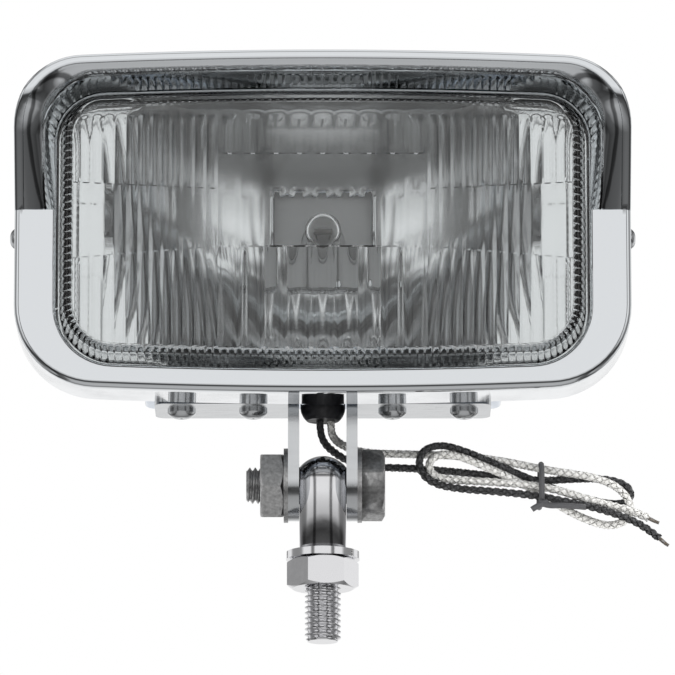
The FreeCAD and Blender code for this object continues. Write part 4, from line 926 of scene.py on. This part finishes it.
def threaded_rod(name, start, stop, chamfer_at, axis="Z", centre=(0, 0, 0)):
    """A rod with a helical thread between two places on its axis; its end at chamfer_at is bevelled."""
    heights = np.linspace(start, stop, max(int(abs(stop - start) / ROW_STEP), 2))
    turns = np.linspace(0, 1, TURN_STEPS, endpoint=False)
    rows_made = []
    for height in heights:
        radius = thread_radius(height / PITCH + turns)
        radius = np.minimum(radius, ROOT + abs(height - chamfer_at) * 1.0 - 0.05)
        across_x = radius * np.cos(turns * 2 * math.pi)
        across_y = radius * np.sin(turns * 2 * math.pi)
        along = np.full(TURN_STEPS, height)
        if axis == "Z":
            rows_made.append(np.column_stack([across_x, across_y, along]))
        else:
            rows_made.append(np.column_stack([along, across_x, across_y]))
    points = np.vstack(rows_made) + np.array(centre)
    faces = ring_faces(len(rows_made), TURN_STEPS)
    faces += [tuple(range(TURN_STEPS)), tuple(range(len(points) - TURN_STEPS, len(points)))]
    return mesh_object(name, points, faces, 50)


def cut_copy(node_name, at, normal, name):
    """A merged copy of a CAD node with the side that the normal points to cut off and closed."""
    form = bmesh.new()
    form.from_mesh(nodes[node_name].data)
    bmesh.ops.remove_doubles(form, verts=form.verts, dist=1e-6)
    bmesh.ops.bisect_plane(form, geom=form.verts[:] + form.edges[:] + form.faces[:], plane_co=Vector(at) * MM,
                           plane_no=normal, clear_outer=True)
    bmesh.ops.holes_fill(form, edges=[e for e in form.edges if e.is_boundary], sides=0)
    bmesh.ops.recalc_face_normals(form, faces=form.faces)
    mesh = bpy.data.meshes.new(name)
    form.to_mesh(mesh)
    form.free()
    made = bpy.data.objects.new(name, mesh)
    scene.collection.objects.link(made)
    return made


stud_low, _ = box_mm("swivel_stud")
knuckle = cut_copy("swivel_stud", (0, 0, 1.0), (0, 0, -1), "knuckle")
free_thread = threaded_rod("free_thread", 1.2, stud_low[2], stud_low[2])
stud = joined("swivel_stud_threaded", [knuckle, free_thread])
stud.data.shade_smooth()
stud.data.set_sharp_from_angle(angle=math.radians(32))
place(stud, "stand", "polished_zinc_nickel", nickel, "swivel_stud")

bolt_low, _ = box_mm("pivot_bolt")
nut_low, _ = box_mm("pivot_nut")
shank = cut_copy("pivot_bolt", (nut_low[0] + 1.0, 0, pivot), (-1, 0, 0), "shank")
bolt_thread = threaded_rod("bolt_thread", nut_low[0] + 1.2, bolt_low[0], bolt_low[0], "X", (0, 0, pivot))
bolt = joined("pivot_bolt_threaded", [shank, bolt_thread])
bolt.data.shade_smooth()
bolt.data.set_sharp_from_angle(angle=math.radians(32))
place(bolt, "lamp", "dull_zinc", dull_zinc, "pivot_bolt")

# %% [markdown]
# ## The two leads
# Each lead is one length of limp braided wire: out of the grommet, behind the bracket, then three times
# along the hank, which a wire tie holds, and out to its bare end. A NURBS spline of order 3 through a few
# given control points gives the line. The braid itself is two sets of yarns that wind round that line,
# one to each hand. Geometry Nodes make them, because the same tree serves both leads.

# %% Routes
# Points are in millimetres from the pivot axis: across, back and up.
BLACK_ROUTE = [
    (-0.8, 0.8, 18.0), (-0.8, 0.8, 15.6), (0.2, 4.6, 12.8), (3.6, 10.4, 10.9), (8.0, 14.6, 9.3),
    (13.4, 15.4, 8.3), (19.8, 13.9, 7.8), (26.8, 12.9, 7.3), (38.4, 12.6, 6.2), (49.5, 12.4, 4.8),
    (60.0, 13.0, 3.9), (69.0, 13.4, 4.6), (77.5, 14.0, 4.8), (83.6, 14.5, 3.2), (85.0, 14.8, -0.2),
    (82.0, 14.8, -2.4), (75.0, 14.6, -1.6), (67.0, 13.8, 0.6), (59.7, 12.8, 3.2), (50.6, 11.9, 7.0),
    (39.6, 11.2, 11.8), (32.0, 10.8, 13.9), (26.6, 10.6, 11.6), (26.4, 10.4, 6.4), (30.0, 10.3, 2.6),
    (37.5, 10.3, 1.1), (47.0, 10.3, 0.5), (58.5, 10.3, -0.7), (67.0, 10.3, -2.4), (75.0, 10.4, -4.1),
    (82.8, 10.8, -6.6), (88.4, 11.2, -9.3), (92.2, 11.6, -12.4)]
WHITE_ROUTE = [
    (2.2, 0.8, 18.0), (2.2, 0.8, 16.0), (2.7, 4.8, 14.4), (5.0, 10.8, 13.6), (8.8, 15.1, 12.8),
    (14.2, 15.8, 12.2), (20.6, 14.6, 11.8), (28.2, 13.6, 11.4), (40.0, 13.4, 10.9), (50.6, 13.0, 9.3),
    (60.3, 12.2, 7.0), (68.5, 11.6, 5.6), (75.6, 11.6, 4.4), (81.6, 12.4, 1.8), (84.6, 13.6, -2.4),
    (84.0, 14.4, -6.6), (79.0, 14.6, -8.6), (73.0, 14.2, -7.0), (67.2, 13.2, -4.4), (61.0, 12.6, -0.7),
    (53.4, 11.4, 3.6), (45.0, 10.5, 7.2), (38.0, 10.2, 10.2), (32.4, 10.2, 11.2), (28.9, 10.3, 8.9),
    (29.6, 10.6, 5.2), (34.0, 10.9, 3.8), (41.4, 10.9, 3.5), (50.6, 10.6, 2.9), (59.7, 10.4, 2.0),
    (66.0, 10.5, 0.4), (73.0, 11.0, -1.7), (80.9, 12.2, -3.6), (85.8, 12.8, -4.8), (89.3, 12.8, -6.5)]


def spline_line(name, route, radius_mm=0.0):
    """A curve object along the route, in metres; with no radius it is only the line."""
    data = bpy.data.curves.new(name, "CURVE")
    data.dimensions = "3D"
    spline = data.splines.new("NURBS")
    spline.points.add(len(route) - 1)
    for point, (x, y, z) in zip(spline.points, route):
        point.co = (x * MM, y * MM, (z + pivot) * MM, 1)
    spline.order_u = 3
    spline.use_endpoint_u = True
    spline.resolution_u = 12
    data.bevel_depth = radius_mm * MM
    data.use_fill_caps = True
    made = bpy.data.objects.new(name, data)
    scene.collection.objects.link(made)
    return made


def line_points(curve):
    """Points of the spline itself, from the curve with no bevel."""
    mesh = bpy.data.meshes.new_from_object(curve.evaluated_get(bpy.context.evaluated_depsgraph_get()))
    points = [v.co.copy() for v in mesh.vertices]
    bpy.data.meshes.remove(mesh)
    return points


def line_length(points):
    return sum((b - a).length for a, b in zip(points, points[1:]))


# %% Tree that braids yarns round a line
def socket_in(tree, name, kind, default):
    made = tree.interface.new_socket(name=name, in_out="INPUT", socket_type=kind)
    if default is not None:
        made.default_value = default
    return made.identifier


def braid_tree():
    tree = bpy.data.node_groups.new("braid_round_a_line", "GeometryNodeTree")
    tree.interface.new_socket(name="Geometry", in_out="INPUT", socket_type="NodeSocketGeometry")
    tree.interface.new_socket(name="Geometry", in_out="OUTPUT", socket_type="NodeSocketGeometry")
    ids = {
        "radius": socket_in(tree, "Radius", "NodeSocketFloat", 0.001),
        "yarn": socket_in(tree, "Yarn Radius", "NodeSocketFloat", 0.0002),
        "lay": socket_in(tree, "Lay Length", "NodeSocketFloat", 0.006),
        "step": socket_in(tree, "Step", "NodeSocketFloat", 0.0005),
        "yarns": socket_in(tree, "Yarns", "NodeSocketInt", 12),
        "finish": socket_in(tree, "Finish", "NodeSocketMaterial", None),
    }
    given = tree.nodes.new("NodeGroupInput").outputs
    line = node(tree, "GeometryNodeMeshToCurve", {"Mesh": given["Geometry"]})
    even = node(tree, "GeometryNodeResampleCurve",
                {"Curve": line.outputs[0], "Length": given["Step"]}, mode="LENGTH").outputs[0]

    def maths(operation, *values):
        """A number worked out from others."""
        return node(tree, "ShaderNodeMath", dict(enumerate(values)), operation=operation).outputs[0]

    def scaled(vector, factor):
        """A vector made longer or shorter."""
        return node(tree, "ShaderNodeVectorMath", {0: vector, "Scale": factor}, operation="SCALE").outputs[0]

    def tube(path, sides, radius):
        """A closed tube of a few sides along a path."""
        ring = node(tree, "GeometryNodeCurvePrimitiveCircle",
                    {"Resolution": sides, "Radius": radius}, mode="RADIUS")
        return node(tree, "GeometryNodeCurveToMesh",
                    {"Curve": path, "Profile Curve": ring.outputs[0], "Fill Caps": True})

    buried = maths("MULTIPLY", given["Yarn Radius"], 0.85)
    core_size = maths("SUBTRACT", given["Radius"], buried)
    core = tube(even, 12, core_size)
    copies = node(tree, "GeometryNodeDuplicateElements", {"Geometry": even, "Amount": given["Yarns"]},
                  domain="SPLINE")
    number = copies.outputs["Duplicate Index"]
    spread = maths("MULTIPLY", maths("DIVIDE", number, given["Yarns"]), 4 * math.pi)
    hand = maths("MULTIPLY_ADD", maths("MODULO", number, 2.0), 2.0, -1.0)
    along = node(tree, "GeometryNodeSplineParameter").outputs["Length"]
    turned = maths("DIVIDE", along, given["Lay Length"])
    angle = maths("ADD", maths("MULTIPLY", maths("MULTIPLY", turned, 2 * math.pi), hand), spread)
    tangent = node(tree, "GeometryNodeInputTangent").outputs[0]
    normal = node(tree, "GeometryNodeInputNormal").outputs[0]
    side = node(tree, "ShaderNodeVectorMath", {0: tangent, 1: normal}, operation="CROSS_PRODUCT").outputs[0]
    wave_angle = maths("MULTIPLY_ADD", maths("MULTIPLY", turned, given["Yarns"]), math.pi, 0.0)
    wave = maths("MULTIPLY", maths("SINE", wave_angle), hand)
    lifted = maths("MULTIPLY_ADD", wave, maths("MULTIPLY", given["Yarn Radius"], 0.45), core_size)
    first = scaled(normal, maths("COSINE", angle))
    second = scaled(side, maths("SINE", angle))
    ray = node(tree, "ShaderNodeVectorMath", {0: first, 1: second}, operation="ADD").outputs[0]
    moved = node(tree, "GeometryNodeSetPosition",
                 {"Geometry": copies.outputs[0], "Offset": scaled(ray, lifted)}).outputs[0]
    yarns = tube(moved, 4, given["Yarn Radius"])
    both = node(tree, "GeometryNodeJoinGeometry")
    for piece in (core, yarns):
        tree.links.new(piece.outputs[0], both.inputs[0])
    real = node(tree, "GeometryNodeRealizeInstances", {0: both.outputs[0]})
    painted = node(tree, "GeometryNodeSetMaterial",
                   {"Geometry": real.outputs[0], "Material": given["Finish"]})
    node(tree, "NodeGroupOutput", {0: painted.outputs[0]})
    return tree, ids


BRAID, BRAID_IN = braid_tree()
LEAD_RADIUS = {"black": 1.05, "white": 1.1}
YARN_RADIUS = 0.20
LAY_LENGTH = 6.4
YARN_STEP = 0.42


def wound_on_line(name, points, settings):
    """Run the braid tree on a line of points and keep the result as a plain mesh."""
    mesh = bpy.data.meshes.new(name)
    mesh.from_pydata(points, [(i, i + 1) for i in range(len(points) - 1)], [])
    made = bpy.data.objects.new(name, mesh)
    scene.collection.objects.link(made)
    work = made.modifiers.new("braid", "NODES")
    work.node_group = BRAID
    for key, value in settings.items():
        work[BRAID_IN[key]] = value
    made = applied(made)
    made.data.shade_smooth()
    return made


# %% Leads
leads = {}
for colour, route, material in (("black", BLACK_ROUTE, black_braid), ("white", WHITE_ROUTE, white_braid)):
    guide = spline_line(f"{colour}_guide", route)
    points = line_points(guide)
    bpy.data.objects.remove(guide)
    lead = wound_on_line(f"braided_lead_{colour}", points, {
        "radius": LEAD_RADIUS[colour] * MM, "yarn": YARN_RADIUS * MM, "lay": LAY_LENGTH * MM,
        "step": YARN_STEP * MM, "yarns": 12, "finish": material})
    leads[colour] = (lead, points, line_length(points))
    print(colour, "lead is", round(leads[colour][2] / MM, 1), "mm long")

# %% Bare strands
# Seven tinned wires twist out of each end; the braid's tree winds them too, with a long lay.
strands = {}
for colour, (_, points, _) in leads.items():
    tip_way = (points[-1] - points[-3]).normalized()
    tip = [points[-1] - tip_way * 0.4 * MM + tip_way * (i * 0.4 * MM) for i in range(10)]
    strand = wound_on_line(f"bare_strands_{colour}", tip, {
        "radius": 0.52 * MM, "yarn": 0.15 * MM, "lay": 30 * MM,
        "step": 0.4 * MM, "yarns": 7, "finish": tinned})
    strands[colour] = strand

# %% Wire tie
tie_low, tie_high = box_mm("lead_tie")
tie_middle = (tie_low + tie_high) / 2
tie_reach = (tie_high - tie_low) / 2
TIE_RADIUS = 0.8
tie_foot = tie_low[2] - pivot + 0.6
loop_route = []
for turn in np.radians(np.linspace(-110, 250, 15)):
    loop_route.append((tie_middle[0] + 0.4 * math.sin(turn / 2),
                       tie_middle[1] + (tie_reach[1] - 0.3) * math.cos(turn),
                       tie_middle[2] - pivot + (tie_reach[2] - 0.5) * math.sin(turn)))
tie_front = tie_low[1] + 0.4
long_tail = [(tie_middle[0] - 0.3, tie_front, tie_foot + 0.8),
             (tie_middle[0] + 1.6, tie_front - 0.6, tie_foot - 0.4),
             (tie_middle[0] + 6.0, tie_front - 0.7, tie_foot - 0.2),
             (tie_middle[0] + 12.4, tie_front - 0.4, tie_foot - 0.7)]
short_tail = [(tie_middle[0] + 1.8, tie_front + 0.2, tie_foot + 0.9),
              (tie_middle[0] - 0.6, tie_front - 0.9, tie_foot - 0.2),
              (tie_middle[0] - 2.4, tie_front - 0.6, tie_foot - 1.4)]
wire_tie = joined("wire_tie", [applied(spline_line(f"tie_part_{number}", part, TIE_RADIUS))
                               for number, part in enumerate((loop_route, long_tail, short_tail))])
wire_tie.data.shade_smooth()
place(wire_tie, "lamp", "tie_plastic", tie_plastic, "lead_tie")

place(leads["black"][0], "lamp", "black_braid", black_braid, "lead_black", "lead_hank", "tail_black")
place(leads["white"][0], "lamp", "white_braid", white_braid, "lead_white", "tail_white")
place(strands["black"], "lamp", "tinned_copper", tinned, "strands_black")
place(strands["white"], "lamp", "tinned_copper", tinned, "strands_white")

# %% [markdown]
# ## Pieces kept from the model
# Washers, nuts, brackets and the small fittings already have their real shape, so they only take a finish.

# %% Kept pieces
KEPT = {
    nickel: ["stud_washer", "stud_nut"],
    dull_zinc: ["pivot_nut", "pivot_washer_left", "pivot_washer_right"],
    bright_zinc: ["bracket_left", "bracket_right", "bracket_screws", "bezel_screws"],
    sheet_zinc: ["bracket_nuts", "backing_strips", "bezel_nuts", "bulb_clip", "earth_screw", "earth_tag"],
    pale_sheet: ["bulb_holder", "bulb_base"],
    rubber: ["grommet", "lens_gasket"],
    quartz: ["bulb_glass"],
    tungsten: ["bulb_filament"],
    sleeve: ["bulb_connector"],
    white_braid: ["inner_lead_white"],
    black_braid: ["inner_lead_black", "bulb_tail"],
}
for material, names in KEPT.items():
    for name in names:
        shown = nodes[name]
        if not shown.material_slots:
            shown.data.materials.append(material)
        for slot in shown.material_slots:
            slot.material = material
print(sum(len(names) for names in KEPT.values()), "kept pieces have a finish")
